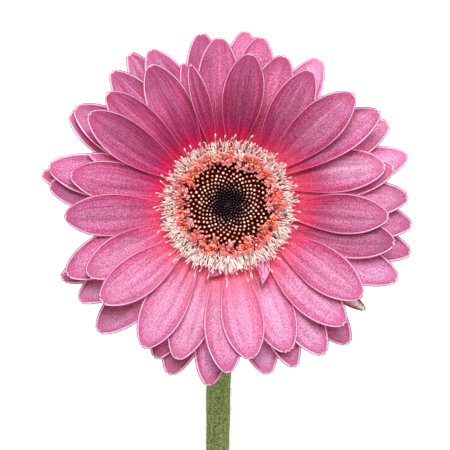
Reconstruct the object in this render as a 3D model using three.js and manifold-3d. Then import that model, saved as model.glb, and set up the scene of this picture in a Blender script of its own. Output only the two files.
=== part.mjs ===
// A cut gerbera daisy lying on its back: a stem that swells into the receptacle, two whorls of green
// bracts under it, ray florets round its rim, and on top of it the disc florets, the trans florets
// round them and the pappus fringe round those.
//
// Millimetres, +Z up. The flower rests on the plane Z = 0, on the tips of its rearmost ray florets
// and on its stem, which runs towards -Y. The head faces up and leans towards +Y by HEAD_LEAN_DEG.
// Head parts are modelled in the head's own frame: +Z is the way the flower faces, the origin is the
// centre of the ring where the foremost ray florets are attached, azimuth 0 points towards +X, and
// azimuth 90 is the top of the head, away from the stem.

import * as THREE from "three";
import Module from "manifold-3d";
import { mergeVertices } from "three/addons/utils/BufferGeometryUtils.js";

// Driving dimensions.
const HEAD_LEAN_DEG = 28;
const RECEPTACLE_RADIUS = 12.5;
const RECEPTACLE_TOP = 0.6;
const RECEPTACLE_WALL = 6.6; // height of the rim that carries the ray florets
const RECEPTACLE_DEPTH = 15.4; // from the head's origin down to the top of the neck
const STEM_TOP_RADIUS = 3.35;
const STEM_FOOT_RADIUS = 3.8;
const STEM_REACH = 235; // from the head's centre to the cut end, along -Y
const STEM_CUT_SLOPE = 0.8;
const SEAT_GAP = 0.3; // between neighbouring pieces
const FLORET_FLOOR = RECEPTACLE_TOP + SEAT_GAP; // where the florets on top of the receptacle stand
const PETAL_THICKNESS = 0.45;
const PETAL_CLAW = 1.5; // width of a ray floret where it is attached
const INNER_BRACTS = 21;
const OUTER_BRACTS = 18;
const BRACT_THICKNESS = 0.8;

// Each step back from the foremost ray floret lowers where it is attached and tips it outwards.
const STEP_DROP = 0.8;
const STEP_TIP_DEG = 4.0;
const FRONT_BASE_RISE_DEG = 28;
const FRONT_TIP_RISE_DEG = 6;

const ROUND_SIDES = 32;
const STEM_SIDES = 12;
const STEM_STEPS = 34;
const UP = new THREE.Vector3(0, 0, 1);

// Ray florets by azimuth: azimuth of the tip and of the base in degrees, reach of the tip from the
// head's axis, greatest width, how many steps back it lies, and how far its clockwise edge lifts.
const RAY_FLORETS = [
  [2.5, 3, 53.3, 12, 4],
  [12.5, 14, 50.3, 12, 3],
  [13.5, 23, 47.9, 13, 2],
  [15.5, 16, 55.3, 12, 5],
  [27, 28, 53.7, 12, 4],
  [31.5, 35, 52.6, 12, 1],
  [41.5, 41.5, 49.4, 13.2, 0],
  [58, 57, 52.2, 12.5, 6.3],
  [58.5, 55, 46.9, 12.2, 1],
  [69.5, 68, 47.6, 12.5, 2],
  [79, 77, 51.5, 12.5, 4],
  [81.5, 83.5, 45.3, 12.6, 0],
  [84, 86, 52.8, 11.5, 5],
  [93, 96.5, 50, 13, 2],
  [99, 101, 52.2, 12, 4],
  [105, 103.5, 43.3, 6, 1],
  [107.5, 108.5, 44.6, 6.5, 3],
  [116.5, 115, 52.4, 12.5, 5],
  [119, 121, 47.7, 12.8, 2.2, 8],
  [123, 123, 54.7, 10.5, 6],
  [131, 130, 52.8, 11.5, 3],
  [137, 137.5, 48.9, 12, 1.8, 8],
  [146.5, 148.5, 49.3, 12.5, 0.8, 8],
  [147.5, 147, 53.9, 13, 4],
  [150, 152, 54.5, 12, 5],
  [160, 158, 44, 5.5, 3],
  [168, 166, 54.3, 13, 4.4],
  [169, 167, 47.5, 12.5, 2.2, 8],
  [170.5, 172, 56, 10, 6],
  [173.5, 177, 53.5, 12, 5],
  [183.8, 185.5, 48.4, 13, 1.6, 8],
  [203, 200, 52, 13, 3],
  [206, 202.5, 46.4, 12.5, 1, 8],
  [212.5, 212, 52.4, 11.5, 5],
  [217, 219.5, 47.1, 12.8, 0],
  [224, 226, 53.7, 12.3, 4],
  [239.5, 235.5, 48.8, 13, 1],
  [251, 251, 53.2, 12, 5],
  [251.5, 252.5, 47.9, 12.5, 2],
  [264, 263, 53.9, 11.5, 4],
  [270, 265, 49.4, 12, 1],
  [278.5, 275.5, 45.9, 12.8, 0],
  [283.3, 283, 51.5, 12, 5],
  [292, 294, 46.9, 13, 2],
  [292.5, 293, 51.8, 10.5, 4],
  [302.8, 303, 52.3, 12.5, 3],
  [311, 313, 54.3, 12, 5],
  [314.5, 311, 49.2, 12.5, 1],
  [325.5, 327.5, 47.7, 13.2, 0],
  [336.5, 335, 54.7, 12.5, 4],
  [345.5, 345, 56, 11.5, 6],
  [347.5, 342, 50.5, 13, 2],
  [354, 354, 54.9, 12, 5],
  [356, 355.5, 47.5, 12.2, 1],
];

const radians = THREE.MathUtils.degToRad;
const lerp = THREE.MathUtils.lerp;

const colours = {
  petal: 0xc8639a,
  disc: 0x1d1014,
  trans: 0xe2605c,
  pappus: 0xf3dcd2,
  bract: 0x5f7a3c,
  stem: 0x6f8a45,
};

function material(colour, roughness) {
  return new THREE.MeshStandardMaterial({ color: colour, roughness, metalness: 0 });
}

function piece(name, geometry, colour, roughness = 0.6) {
  const mesh = new THREE.Mesh(geometry, material(colour, roughness));
  mesh.name = name;
  return mesh;
}

function indexedGeometry(points, faces) {
  const geometry = new THREE.BufferGeometry().setFromPoints(points);
  geometry.setIndex(faces);
  geometry.computeVertexNormals();
  return geometry;
}

// A closed skin over rings that hold the same number of points, run anticlockwise when seen from the
// far end. It starts flat across its first ring. Its far end closes on tip, or flat if there is none.
function loft(rings, tip) {
  const sides = rings[0].length;
  const points = rings.flat();
  const faces = [];
  for (let ring = 0; ring + 1 < rings.length; ring++) {
    for (let side = 0; side < sides; side++) {
      const a = ring * sides + side;
      const b = ring * sides + ((side + 1) % sides);
      faces.push(a, b, b + sides, a, b + sides, a + sides);
    }
  }
  const last = (rings.length - 1) * sides;
  for (let side = 1; side + 1 < sides; side++) {
    faces.push(0, side + 1, side);
    if (!tip) faces.push(last, last + side, last + side + 1);
  }
  if (tip) {
    const hub = points.push(tip) - 1;
    for (let side = 0; side < sides; side++) {
      faces.push(hub, last + side, last + ((side + 1) % sides));
    }
  }
  return indexedGeometry(points, faces);
}

// A solid of revolution about +Z, from a profile of [radius, height] points.
function turned(profile) {
  const points = profile.map(([radius, height]) => new THREE.Vector2(radius, height));
  return new THREE.LatheGeometry(points, ROUND_SIDES).rotateX(Math.PI / 2);
}

// Half the width of a ray floret at v, from 0 at its base to 1 at its tip, as a share of the greatest.
function outline(v) {
  return Math.sin(Math.PI * v ** 1.5) ** 0.6;
}

// The midline of a ray floret at v, with the way it runs, its side and its upper face there.
function midline([tipAzimuth, baseAzimuth, reach, , steps, roll = 0], v) {
  const start = RECEPTACLE_RADIUS + SEAT_GAP;
  const run = reach - start;
  const baseSlope = Math.tan(radians(FRONT_BASE_RISE_DEG - STEP_TIP_DEG * steps));
  const tipSlope = Math.tan(radians(FRONT_TIP_RISE_DEG - STEP_TIP_DEG * steps));
  const at = (share) => {
    const azimuth = radians(lerp(baseAzimuth, tipAzimuth, share));
    const radius = start + run * share;
    const rise = run * (baseSlope * share + ((tipSlope - baseSlope) * share * share) / 2);
    return new THREE.Vector3(
      radius * Math.cos(azimuth),
      radius * Math.sin(azimuth),
      rise - STEP_DROP * steps,
    );
  };
  const along = at(v + 0.01).sub(at(v - 0.01)).normalize();
  const side = new THREE.Vector3().crossVectors(UP, along).applyAxisAngle(along, -radians(roll));
  side.normalize();
  const upper = new THREE.Vector3().crossVectors(along, side);
  return { point: at(v), side, upper };
}

// One ray floret: a thin strap that is narrow at its claw, widest past the middle, rounded at its
// tip, and a shallow gutter from side to side.
function rayFloret(row) {
  const halfWidth = row[3] / 2;
  const stations = [0, 0.14, 0.3, 0.48, 0.66, 0.82, 0.92, 0.975];
  const across = [1, 0.5, 0, -0.5, -1, -0.5, 0, 0.5];
  const rings = stations.map((v) => {
    const { point, side, upper } = midline(row, v);
    const half = Math.max(PETAL_CLAW / 2, halfWidth * outline(v));
    const gutter = half * lerp(0.16, 0.1, v);
    return across.map((u, index) => {
      const face = index < 4 ? 1 : -1;
      const skin = Math.abs(u) === 1 ? 0 : (face * PETAL_THICKNESS) / 2;
      return point
        .clone()
        .addScaledVector(side, half * u)
        .addScaledVector(upper, gutter * u * u + skin);
    });
  });
  return loft(rings, midline(row, 1).point);
}

// A closed hoop over cross-sections that run anticlockwise round +Z and join up, the last to the
// first.
function closedHoop(sections) {
  const sides = sections[0].length;
  const faces = [];
  for (let section = 0; section < sections.length; section++) {
    const following = (section + 1) % sections.length;
    for (let side = 0; side < sides; side++) {
      const next = (side + 1) % sides;
      const a = section * sides + side;
      const b = section * sides + next;
      const c = following * sides + next;
      const d = following * sides + side;
      faces.push(a, c, b, a, d, c);
    }
  }
  return indexedGeometry(sections.flat(), faces);
}

// The cone under the receptacle's rim, which the bracts lie against: radius and height of its foot
// and its shoulder, the way it rises, and the way it faces.
const coneFoot = new THREE.Vector2(STEM_TOP_RADIUS + 0.6, -RECEPTACLE_DEPTH);
const coneShoulder = new THREE.Vector2(RECEPTACLE_RADIUS - 0.5, RECEPTACLE_TOP - RECEPTACLE_WALL);
const coneRise = coneShoulder.clone().sub(coneFoot).normalize();
const coneFacing = new THREE.Vector2(coneRise.y, -coneRise.x);
const coneLength = coneFoot.distanceTo(coneShoulder);

// A whorl of bracts grown together: a shell round the cone, standing off it by clearance, whose
// upper edge is cut into one pointed tooth for each bract.
function bractWhorl({ count, clearance, reach, toothDepth }) {
  const stepsPerBract = 4;
  const sections = [];
  for (let step = 0; step < count * stepsPerBract; step++) {
    const turn = (step / (count * stepsPerBract)) * 2 * Math.PI;
    const share = (step % stepsPerBract) / stepsPerBract;
    const edge = reach - toothDepth * Math.abs(2 * share - 1);
    const corner = (distance, depth) => {
      const place = coneFoot.clone().addScaledVector(coneRise, distance);
      place.addScaledVector(coneFacing, clearance + depth);
      return new THREE.Vector3(place.x * Math.cos(turn), place.x * Math.sin(turn), place.y);
    };
    sections.push([
      corner(0, 0),
      corner(0, BRACT_THICKNESS),
      corner(edge, BRACT_THICKNESS),
      corner(edge, 0),
    ]);
  }
  return closedHoop(sections);
}

function receptacle() {
  return turned([
    [0, -RECEPTACLE_DEPTH - 1],
    [STEM_TOP_RADIUS, -RECEPTACLE_DEPTH - 1],
    coneFoot.toArray(),
    coneShoulder.toArray(),
    [RECEPTACLE_RADIUS, coneShoulder.y + 0.8],
    [RECEPTACLE_RADIUS, RECEPTACLE_TOP - 0.4],
    [RECEPTACLE_RADIUS - 0.6, RECEPTACLE_TOP],
    [0, RECEPTACLE_TOP],
  ]);
}

// The disc florets still in bud: a low dome, dished in the middle.
function discFlorets() {
  return turned([
    [0, FLORET_FLOOR],
    [11.2, FLORET_FLOOR],
    [11.6, FLORET_FLOOR + 1.2],
    [11.4, FLORET_FLOOR + 3.6],
    [9.6, FLORET_FLOOR + 4.6],
    [6.6, FLORET_FLOOR + 4.2],
    [3.4, FLORET_FLOOR + 3.2],
    [0, FLORET_FLOOR + 2.8],
  ]);
}

// The ring of short florets that stands round the disc and opens outwards.
function transFlorets() {
  return turned([
    [11.9, FLORET_FLOOR],
    [12.6, FLORET_FLOOR],
    [13.1, FLORET_FLOOR + 0.9],
    [15.6, FLORET_FLOOR + 4.6],
    [15.2, FLORET_FLOOR + 6.2],
    [13.2, FLORET_FLOOR + 6.8],
    [12.0, FLORET_FLOOR + 5.2],
    [11.9, FLORET_FLOOR],
  ]);
}

// The fringe of fine bristles over the bases of the ray florets.
function pappus() {
  return turned([
    [13.5, FLORET_FLOOR + 0.9],
    [20.8, FLORET_FLOOR + 5.2],
    [20.6, FLORET_FLOOR + 6.2],
    [18.4, FLORET_FLOOR + 6.6],
    [16.0, FLORET_FLOOR + 6.2],
    [16.0, FLORET_FLOOR + 4.5],
    [13.5, FLORET_FLOOR + 0.9],
  ]);
}

const head = new THREE.Group();
head.rotation.x = -radians(HEAD_LEAN_DEG);

RAY_FLORETS.forEach((row, index) => {
  const name = `ray_floret_${String(index + 1).padStart(2, "0")}`;
  head.add(piece(name, rayFloret(row), colours.petal, 0.55));
});
head.add(piece("disc_florets", discFlorets(), colours.disc, 0.7));
head.add(piece("trans_florets", transFlorets(), colours.trans, 0.6));
head.add(piece("pappus", pappus(), colours.pappus, 0.7));

// The inner whorl lies against the cone and the outer whorl against the inner one.
const innerWhorl = bractWhorl({
  count: INNER_BRACTS,
  clearance: 1.4 * SEAT_GAP,
  reach: coneLength + 1,
  toothDepth: 2.6,
});
const outerWhorl = bractWhorl({
  count: OUTER_BRACTS,
  clearance: BRACT_THICKNESS + 2.4 * SEAT_GAP,
  reach: coneLength - 3,
  toothDepth: 4,
});
head.add(piece("bracts_inner_whorl", innerWhorl, colours.bract));
head.add(piece("bracts_outer_whorl", outerWhorl, colours.bract));

// The surface that the flower rests on lies at the lowest point of the head.
const headBox = new THREE.Box3().setFromObject(head, true);
const restHeight = headBox.min.z;

// The stem leaves the receptacle square, bends through the neck and then lies along the surface.
function stemRoute() {
  const facing = UP.clone().applyEuler(head.rotation);
  const top = facing.clone().multiplyScalar(-RECEPTACLE_DEPTH);
  const lie = restHeight + STEM_FOOT_RADIUS;
  const neckEnd = new THREE.Vector3(-1.2, top.y - 26, lie);
  const neck = new THREE.CubicBezierCurve3(
    top,
    top.clone().addScaledVector(facing, -11),
    new THREE.Vector3(-0.6, neckEnd.y + 13, lie),
    neckEnd,
  );
  const lying = new THREE.CatmullRomCurve3([
    neckEnd,
    new THREE.Vector3(-2.7, -68, lie),
    new THREE.Vector3(-3.2, -110, lie),
    new THREE.Vector3(-1.4, -160, lie),
    new THREE.Vector3(3.2, -205, lie),
    new THREE.Vector3(7.5, -STEM_REACH, lie),
  ]);
  const route = new THREE.CurvePath();
  route.add(neck);
  route.add(lying);
  return route;
}

// A round stem along its route that thickens towards its foot and ends in a slanting cut.
function stemTube() {
  const route = stemRoute();
  const rings = [];
  for (let step = 0; step <= STEM_STEPS; step++) {
    const share = step / STEM_STEPS;
    const centre = route.getPointAt(share);
    const along = route.getTangentAt(share);
    const side = new THREE.Vector3(1, 0, 0).cross(along).normalize();
    const across = new THREE.Vector3().crossVectors(along, side);
    const radius = lerp(STEM_TOP_RADIUS, STEM_FOOT_RADIUS, Math.min(1, 3 * share));
    const ring = [];
    for (let index = 0; index < STEM_SIDES; index++) {
      const turn = (index / STEM_SIDES) * 2 * Math.PI;
      const point = centre.clone();
      point.addScaledVector(side, radius * Math.cos(turn));
      point.addScaledVector(across, radius * Math.sin(turn));
      if (step === STEM_STEPS) {
        point.addScaledVector(along, STEM_CUT_SLOPE * radius * Math.cos(turn));
      }
      ring.push(point);
    }
    rings.push(ring);
  }
  return loft(rings);
}

const wasm = await Module();
wasm.setup();

function solidOf(geometry) {
  const bare = geometry.clone();
  bare.deleteAttribute("normal");
  bare.deleteAttribute("uv");
  const merged = mergeVertices(bare);
  return new wasm.Manifold(
    new wasm.Mesh({
      numProp: 3,
      vertProperties: merged.attributes.position.array,
      triVerts: new Uint32Array(merged.index.array),
    }),
  );
}

function geometryOf(solid) {
  const mesh = solid.getMesh();
  const geometry = new THREE.BufferGeometry();
  geometry.setAttribute("position", new THREE.BufferAttribute(mesh.vertProperties, mesh.numProp));
  geometry.setIndex(new THREE.BufferAttribute(mesh.triVerts, 1));
  geometry.computeVertexNormals();
  return geometry;
}

// The stem and the receptacle grew as one piece.
function stemWithReceptacle() {
  const lean = new THREE.Matrix4().makeRotationFromEuler(head.rotation);
  const swelling = receptacle().applyMatrix4(lean);
  return geometryOf(solidOf(stemTube()).add(solidOf(swelling)));
}

const flower = new THREE.Group();
flower.name = "gerbera";
flower.add(head);
flower.add(piece("stem", stemWithReceptacle(), colours.stem, 0.7));

// The part's origin is the middle of its footprint, on the surface it rests on.
const box = new THREE.Box3().setFromObject(flower, true);
const middle = box.getCenter(new THREE.Vector3());
flower.position.set(-middle.x, -middle.y, -box.min.z);

export default flower;
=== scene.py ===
"""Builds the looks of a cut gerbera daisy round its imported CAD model.

The flower lies on its back: its head faces up and leans, and its stem lies along the surface.
Lengths in this file are millimetres in the head's own frame unless a name says otherwise. In that
frame +Z is the way the flower faces, azimuth 0 is world +X, and azimuth 90 is the top of the head,
away from the stem. Meshes are put in the world, in metres, as they are made.
"""

import math
from types import SimpleNamespace
from typing import NamedTuple

import bmesh
import bpy
import numpy as np
from bpy.props import FloatProperty, FloatVectorProperty, IntProperty, PointerProperty
from bpy.types import Operator, Panel, PropertyGroup
from mathutils import Matrix, Vector


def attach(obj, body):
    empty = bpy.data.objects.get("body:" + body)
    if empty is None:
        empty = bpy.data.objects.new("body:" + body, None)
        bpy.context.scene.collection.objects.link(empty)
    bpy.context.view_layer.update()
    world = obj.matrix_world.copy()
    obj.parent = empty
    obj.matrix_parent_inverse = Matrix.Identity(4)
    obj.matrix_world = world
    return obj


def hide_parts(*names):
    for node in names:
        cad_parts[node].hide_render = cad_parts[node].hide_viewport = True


bl_info = {
    "name": "Cut gerbera",
    "version": (1, 0, 0),
    "blender": (4, 5, 0),
    "location": "3D View > Sidebar > Gerbera",
    "description": "Models a cut gerbera daisy that lies on its back",
    "category": "Object",
}

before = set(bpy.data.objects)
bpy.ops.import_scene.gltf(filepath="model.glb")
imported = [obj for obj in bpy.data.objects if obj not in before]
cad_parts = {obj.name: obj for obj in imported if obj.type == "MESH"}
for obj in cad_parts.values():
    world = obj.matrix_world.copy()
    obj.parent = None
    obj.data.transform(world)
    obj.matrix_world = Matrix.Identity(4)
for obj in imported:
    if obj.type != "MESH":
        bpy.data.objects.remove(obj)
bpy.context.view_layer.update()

MM = 0.001
GOLDEN_TURN = math.pi * (3 - math.sqrt(5))
UP = np.array([0.0, 0.0, 1.0])
# How far the small florets stand from the head's axis, towards azimuth 90.
CENTRE_SHIFT = 0.4
# Height of the floor that the disc florets stand on.
DISC_FLOOR = 0.9


# The frame


def welded(node):
    """A bmesh of a CAD node whose loose triangles are joined up again. The caller frees it."""
    solid = bmesh.new()
    solid.from_mesh(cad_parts[node].data)
    bmesh.ops.remove_doubles(solid, verts=solid.verts, dist=1e-6)
    return solid


def find_head():
    """The head's frame as a matrix from its millimetres to world metres.

    The disc florets stand on a flat round floor square to the head's axis, so the largest set of
    triangles that face one way is that floor.
    """
    solid = welded("disc_florets")
    floors = {}
    for face in solid.faces:
        key = tuple(round(part, 2) for part in face.normal)
        floors.setdefault(key, []).append(face)
    floor = max(floors.values(), key=lambda faces: sum(face.calc_area() for face in faces))
    area = sum(face.calc_area() for face in floor)
    centre = sum((face.calc_center_median() * face.calc_area() for face in floor), Vector()) / area
    facing = -floor[0].normal.normalized()
    solid.free()
    across = Vector((1, 0, 0))
    top = facing.cross(across)
    turn = Matrix((across, top, facing)).transposed().to_4x4()
    return Matrix.Translation(centre - facing * (DISC_FLOOR * MM)) @ turn @ Matrix.Scale(MM, 4)


HEAD = find_head()
TO_HEAD = HEAD.inverted()


def in_world(points):
    """Head-frame points, one a row, as world points in metres."""
    matrix = np.array(HEAD)
    return points @ matrix[:3, :3].T + matrix[:3, 3]


# Properties


def length_prop(name, description, default, top=100.0):
    """A length property, given here in millimetres and kept in metres."""
    limits = {"default": default * MM, "min": 0.0, "max": top * MM}
    return FloatProperty(name=name, description=description, unit="LENGTH", precision=5, **limits)


def factor_prop(name, description, default, top=1.0):
    """A property from 0 to top without a unit."""
    return FloatProperty(
        name=name, description=description, default=default, min=0.0, max=top, subtype="FACTOR"
    )


def strength_prop(name, description, default, unit="NONE"):
    """The strength of a light."""
    return FloatProperty(name=name, description=description, default=default, min=0.0, unit=unit)


def angle_prop(name, description, degrees):
    """An angle property, given here in degrees and kept in radians."""
    return FloatProperty(name=name, description=description, default=math.radians(degrees), subtype="ANGLE")


def count_prop(name, description, default, least, most):
    """A number of pieces."""
    return IntProperty(name=name, description=description, default=default, min=least, max=most)


def colour_prop(name, description, default):
    """A linear colour property."""
    return FloatVectorProperty(
        name=name, description=description, default=default, subtype="COLOR", size=3, min=0.0, max=1.0
    )


class GerberaPetals(PropertyGroup):
    """Sizes and colours of the ray florets."""

    thickness: length_prop("Thickness", "Thickness of a ray floret at its middle", 0.45, 3.0)
    fold_depth: length_prop("Fold depth", "Depth of the two long grooves", 0.46, 2.0)
    wave: length_prop("Margin wave", "How far the margin rises and falls", 0.35, 2.0)
    tooth: length_prop("Tip tooth", "Depth of the notches at the tip", 0.34, 2.0)
    droop: length_prop("Droop", "How far the ray florets bow towards their tips", 1.6, 6.0)
    closing: factor_prop("Closing", "How far the rear rows are drawn up to the front row", 0.66, 0.8)
    # Painted sheen: how pale the middle of the blade is made, standing in for light on it.
    bloom: factor_prop("Bloom", "How pale the middle of the blade is", 0.44)
    base: colour_prop("Base", "Colour where the ray florets meet the fringe", (0.93, 0.028, 0.15))
    flush: colour_prop("Flush", "Colour between the base and the blade", (0.66, 0.065, 0.25))
    blade: colour_prop("Blade", "Colour of the middle of the blade", (0.61, 0.083, 0.235))
    tip: colour_prop("Tip", "Colour near the tip", (0.68, 0.185, 0.415))
    margin: colour_prop("Margin", "Colour of the thin pale margin", (0.97, 0.6, 0.77))
    underside: colour_prop("Underside", "Colour of the paler back", (0.72, 0.3, 0.44))


class GerberaCentre(PropertyGroup):
    """Counts and colours of the florets and bristles on top of the receptacle."""

    buds: count_prop("Buds", "Number of disc florets in bud", 404, 10, 600)
    bristles: count_prop("Bristles", "Number of bristles in the fringe", 2000, 10, 4000)
    styles: count_prop("Styles", "Number of long knobbed threads", 64, 1, 300)
    trans_outer: count_prop("Outer trans florets", "Trans florets in the outer ring", 52, 3, 90)
    trans_inner: count_prop("Inner trans florets", "Trans florets in the inner ring", 44, 3, 90)
    bud: colour_prop("Bud", "Colour of a bud's sides", (0.5, 0.035, 0.02))
    bud_tip: colour_prop("Bud tip", "Colour of a bud's tip", (1.0, 0.78, 0.6))
    bristle: colour_prop("Bristle", "Colour of the bristles", (1.0, 0.87, 0.82))
    coral: colour_prop("Coral", "Colour of the trans florets' tubes", (0.92, 0.085, 0.12))
    lip: colour_prop("Lip", "Colour of the trans florets' curled lips", (1.0, 0.34, 0.4))
    anther: colour_prop("Anther", "Colour of the anthers", (0.95, 0.48, 0.12))


class GerberaGreen(PropertyGroup):
    """Sizes and colours of the bracts and the stem."""

    hairs: count_prop("Hairs", "Number of hairs on the stem", 7500, 1, 20000)
    hair_length: length_prop("Hair length", "Length of a stem hair", 0.75, 5.0)
    ribs: count_prop("Ribs", "Number of faint ribs round the stem", 15, 3, 60)
    stem: colour_prop("Stem", "Colour of the stem", (0.4, 0.485, 0.17))
    bract: colour_prop("Bract", "Colour of the bracts", (0.12, 0.2, 0.05))
    bract_tip: colour_prop("Bract tip", "Colour of the bracts' tips", (0.2, 0.07, 0.05))
    pith: colour_prop("Pith", "Colour of the cut end", (0.62, 0.66, 0.4))


class GerberaStage(PropertyGroup):
    """The floor, the lights and the camera."""

    view_width: length_prop("View width", "Width of the view at the head", 133.8, 500.0)
    lens: FloatProperty(
        name="Lens", description="Focal length of the camera", default=200.0, min=1.0, unit="CAMERA"
    )
    key_power: strength_prop("Lamp power", "Power of the weak lamp", 4.0, "POWER")
    key_glow: strength_prop("Glow", "Brightness of the surround's bright side", 7.7)
    fill: strength_prop("Fill", "Brightness of the rest of the surround", 0.03)
    softness: strength_prop("Glow focus", "How tightly the bright side gathers", 7.0)
    key_height: angle_prop("Light height", "Angle of the light above the plane of the head", 34)
    key_turn: angle_prop("Light azimuth", "Azimuth of the light round the head", 85)
    floor: colour_prop("Floor", "Colour of the floor", (0.55, 0.55, 0.55))


# Node trees


class Wires:
    """Short calls that add linked nodes to a tree."""

    def __init__(self, tree):
        self.tree = tree

    def add(self, kind, inputs=None, **settings):
        """A new node whose inputs are fed and whose settings are set."""
        node = self.tree.nodes.new(kind)
        for key, value in settings.items():
            setattr(node, key, value)
        for key, value in (inputs or {}).items():
            self.feed(node.inputs[key], value)
        return node

    def feed(self, socket, value):
        """Links a socket to another one, or gives it a plain value."""
        if isinstance(value, bpy.types.NodeSocket):
            self.tree.links.new(value, socket)
        else:
            socket.default_value = value

    def math(self, operation, first, second=0.0, third=0.0):
        """One operation on numbers."""
        return self.add("ShaderNodeMath", {0: first, 1: second, 2: third}, operation=operation).outputs[0]

    def times(self, first, second):
        return self.math("MULTIPLY", first, second)

    def vector(self, operation, first, second=(0.0, 0.0, 0.0)):
        """One operation on vectors."""
        return self.add("ShaderNodeVectorMath", {0: first, 1: second}, operation=operation).outputs[0]

    def combine(self, x=0.0, y=0.0, z=0.0):
        return self.add("ShaderNodeCombineXYZ", {0: x, 1: y, 2: z}).outputs[0]

    def span(self, value, low, high, to_low=0.0, to_high=1.0, smooth=False):
        """value carried from low..high to to_low..to_high, and held at those ends."""
        inputs = {"Value": value, "From Min": low, "From Max": high, "To Min": to_low, "To Max": to_high}
        kind = "SMOOTHSTEP" if smooth else "LINEAR"
        return self.add("ShaderNodeMapRange", inputs, interpolation_type=kind).outputs[0]

    def blend(self, factor, first, second, how="MIX"):
        """first mixed with second, both colours."""
        node = self.add("ShaderNodeMix", data_type="RGBA", blend_type=how)
        for index, value in ((0, factor), (6, first), (7, second)):
            plain = not isinstance(value, (bpy.types.NodeSocket, float, int))
            self.feed(node.inputs[index], (*value, 1.0) if plain and len(value) == 3 else value)
        return node.outputs[2]

    def tinted(self, shade, factor):
        """A colour multiplied by a number or by another colour."""
        return self.blend(1.0, shade, factor, "MULTIPLY")

    def part(self, vector, axis):
        """One of a vector's numbers: X, Y or Z."""
        return self.add("ShaderNodeSeparateXYZ", {0: vector}).outputs[axis]

    def noise(self, vector, scale, detail=2.0, roughness=0.5):
        """Soft noise at a place, about 0.5."""
        inputs = {"Vector": vector, "Scale": scale, "Detail": detail, "Roughness": roughness}
        return self.add("ShaderNodeTexNoise", inputs).outputs["Fac"]

    def attributes(self, *names):
        """Sockets of the mesh's own values that have these names."""
        return [self.add("ShaderNodeAttribute", attribute_name=name).outputs["Fac"] for name in names]

    def ramp(self, value, stops):
        """Colours along value, from (position, colour) stops."""
        node = self.add("ShaderNodeValToRGB", {"Fac": value})
        elements = node.color_ramp.elements
        while len(elements) < len(stops):
            elements.new(1.0)
        for element, (position, shade) in zip(elements, stops):
            element.position = position
            element.color = (*shade, 1.0)
        return node.outputs["Color"]

    def named(self, name, kind):
        """A point attribute inside a geometry tree."""
        node = self.add("GeometryNodeInputNamedAttribute", {"Name": name}, data_type=kind)
        return node.outputs["Attribute"]

    def random(self, kind, low, high, seed):
        """A number or a vector between low and high for each instance."""
        node = self.add("FunctionNodeRandomValue", data_type=kind)
        free = {socket.name: socket for socket in node.inputs if socket.enabled}
        self.feed(free["Min"], low)
        self.feed(free["Max"], high)
        self.feed(free["Seed"], seed)
        return next(socket for socket in node.outputs if socket.enabled)

    def repeat(self, inputs, angle, seed):
        """Instances on points, each turned about its foot by up to angle each way."""
        instances = self.add("GeometryNodeInstanceOnPoints", inputs).outputs[0]
        angles = self.random("FLOAT_VECTOR", self.times(angle, -1.0), angle, seed)
        turned_by = {"Instances": instances, "Rotation": angles, "Local Space": True}
        return self.add("GeometryNodeRotateInstances", turned_by).outputs[0]

    def finish(self, geometry, material, result):
        """Ends a geometry tree in plain geometry with its material."""
        plain = self.add("GeometryNodeRealizeInstances", {"Geometry": geometry}).outputs[0]
        painted = self.add("GeometryNodeSetMaterial", {"Geometry": plain, "Material": material})
        self.feed(result.inputs[0], painted.outputs[0])


def new_group(name, kind, inputs, outputs):
    """A node group with named sockets, its wires, its input node and its output node."""
    tree = bpy.data.node_groups.new(name, kind)
    for in_out, sockets in (("INPUT", inputs), ("OUTPUT", outputs)):
        for label, (socket_type, default) in sockets.items():
            socket = tree.interface.new_socket(label, in_out=in_out, socket_type=socket_type)
            if default is not None:
                socket.default_value = default
    wires = Wires(tree)
    return wires, wires.add("NodeGroupInput"), wires.add("NodeGroupOutput")


FLOAT = "NodeSocketFloat"
INT = "NodeSocketInt"
VECTOR = "NodeSocketVector"
GEOMETRY = "NodeSocketGeometry"
OBJECT = "NodeSocketObject"
MATERIAL = "NodeSocketMaterial"
COLLECTION = "NodeSocketCollection"


# Shared finishes


def grain_group():
    """Plant grain: long fine veins along a surface, and the sparkle of its cells.

    Vein is 0 to 1 across the veins, Cell is 0 to 1 from cell to cell, and Height is for a bump.
    """
    inputs = {"Along": (VECTOR, None), "Veins": (FLOAT, 40.0), "Cells": (FLOAT, 2600.0)}
    outputs = {"Vein": (FLOAT, None), "Cell": (FLOAT, None), "Height": (FLOAT, None)}
    wires, given, result = new_group("Plant grain", "ShaderNodeTree", inputs, outputs)
    stretch = wires.combine(given.outputs["Veins"], 2.2, 1.0)
    vein = wires.noise(wires.vector("MULTIPLY", given.outputs["Along"], stretch), 1.0, 3.0, 0.55)
    place = wires.add("ShaderNodeTexCoord").outputs["Object"]
    cell = wires.noise(place, given.outputs["Cells"], 1.0, 0.6)
    height = wires.math("ADD", wires.times(vein, 0.75), wires.times(cell, 0.35))
    for name, value in (("Vein", vein), ("Cell", cell), ("Height", height)):
        wires.feed(result.inputs[name], value)
    return wires.tree


def mottle_group():
    """Patches of a surface, soft and large over small and sharp, 0 to 1."""
    inputs = {"Patch": (FLOAT, 120.0), "Speck": (FLOAT, 1500.0)}
    outputs = {"Mask": (FLOAT, None), "Height": (FLOAT, None)}
    wires, given, result = new_group("Mottle", "ShaderNodeTree", inputs, outputs)
    place = wires.add("ShaderNodeTexCoord").outputs["Object"]
    patch = wires.noise(place, given.outputs["Patch"], 3.0)
    speck = wires.noise(place, given.outputs["Speck"], 2.0, 0.6)
    mask = wires.math("ADD", wires.times(patch, 0.6), wires.times(speck, 0.4))
    wires.feed(result.inputs["Mask"], mask)
    wires.feed(result.inputs["Height"], speck)
    return wires.tree


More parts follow.
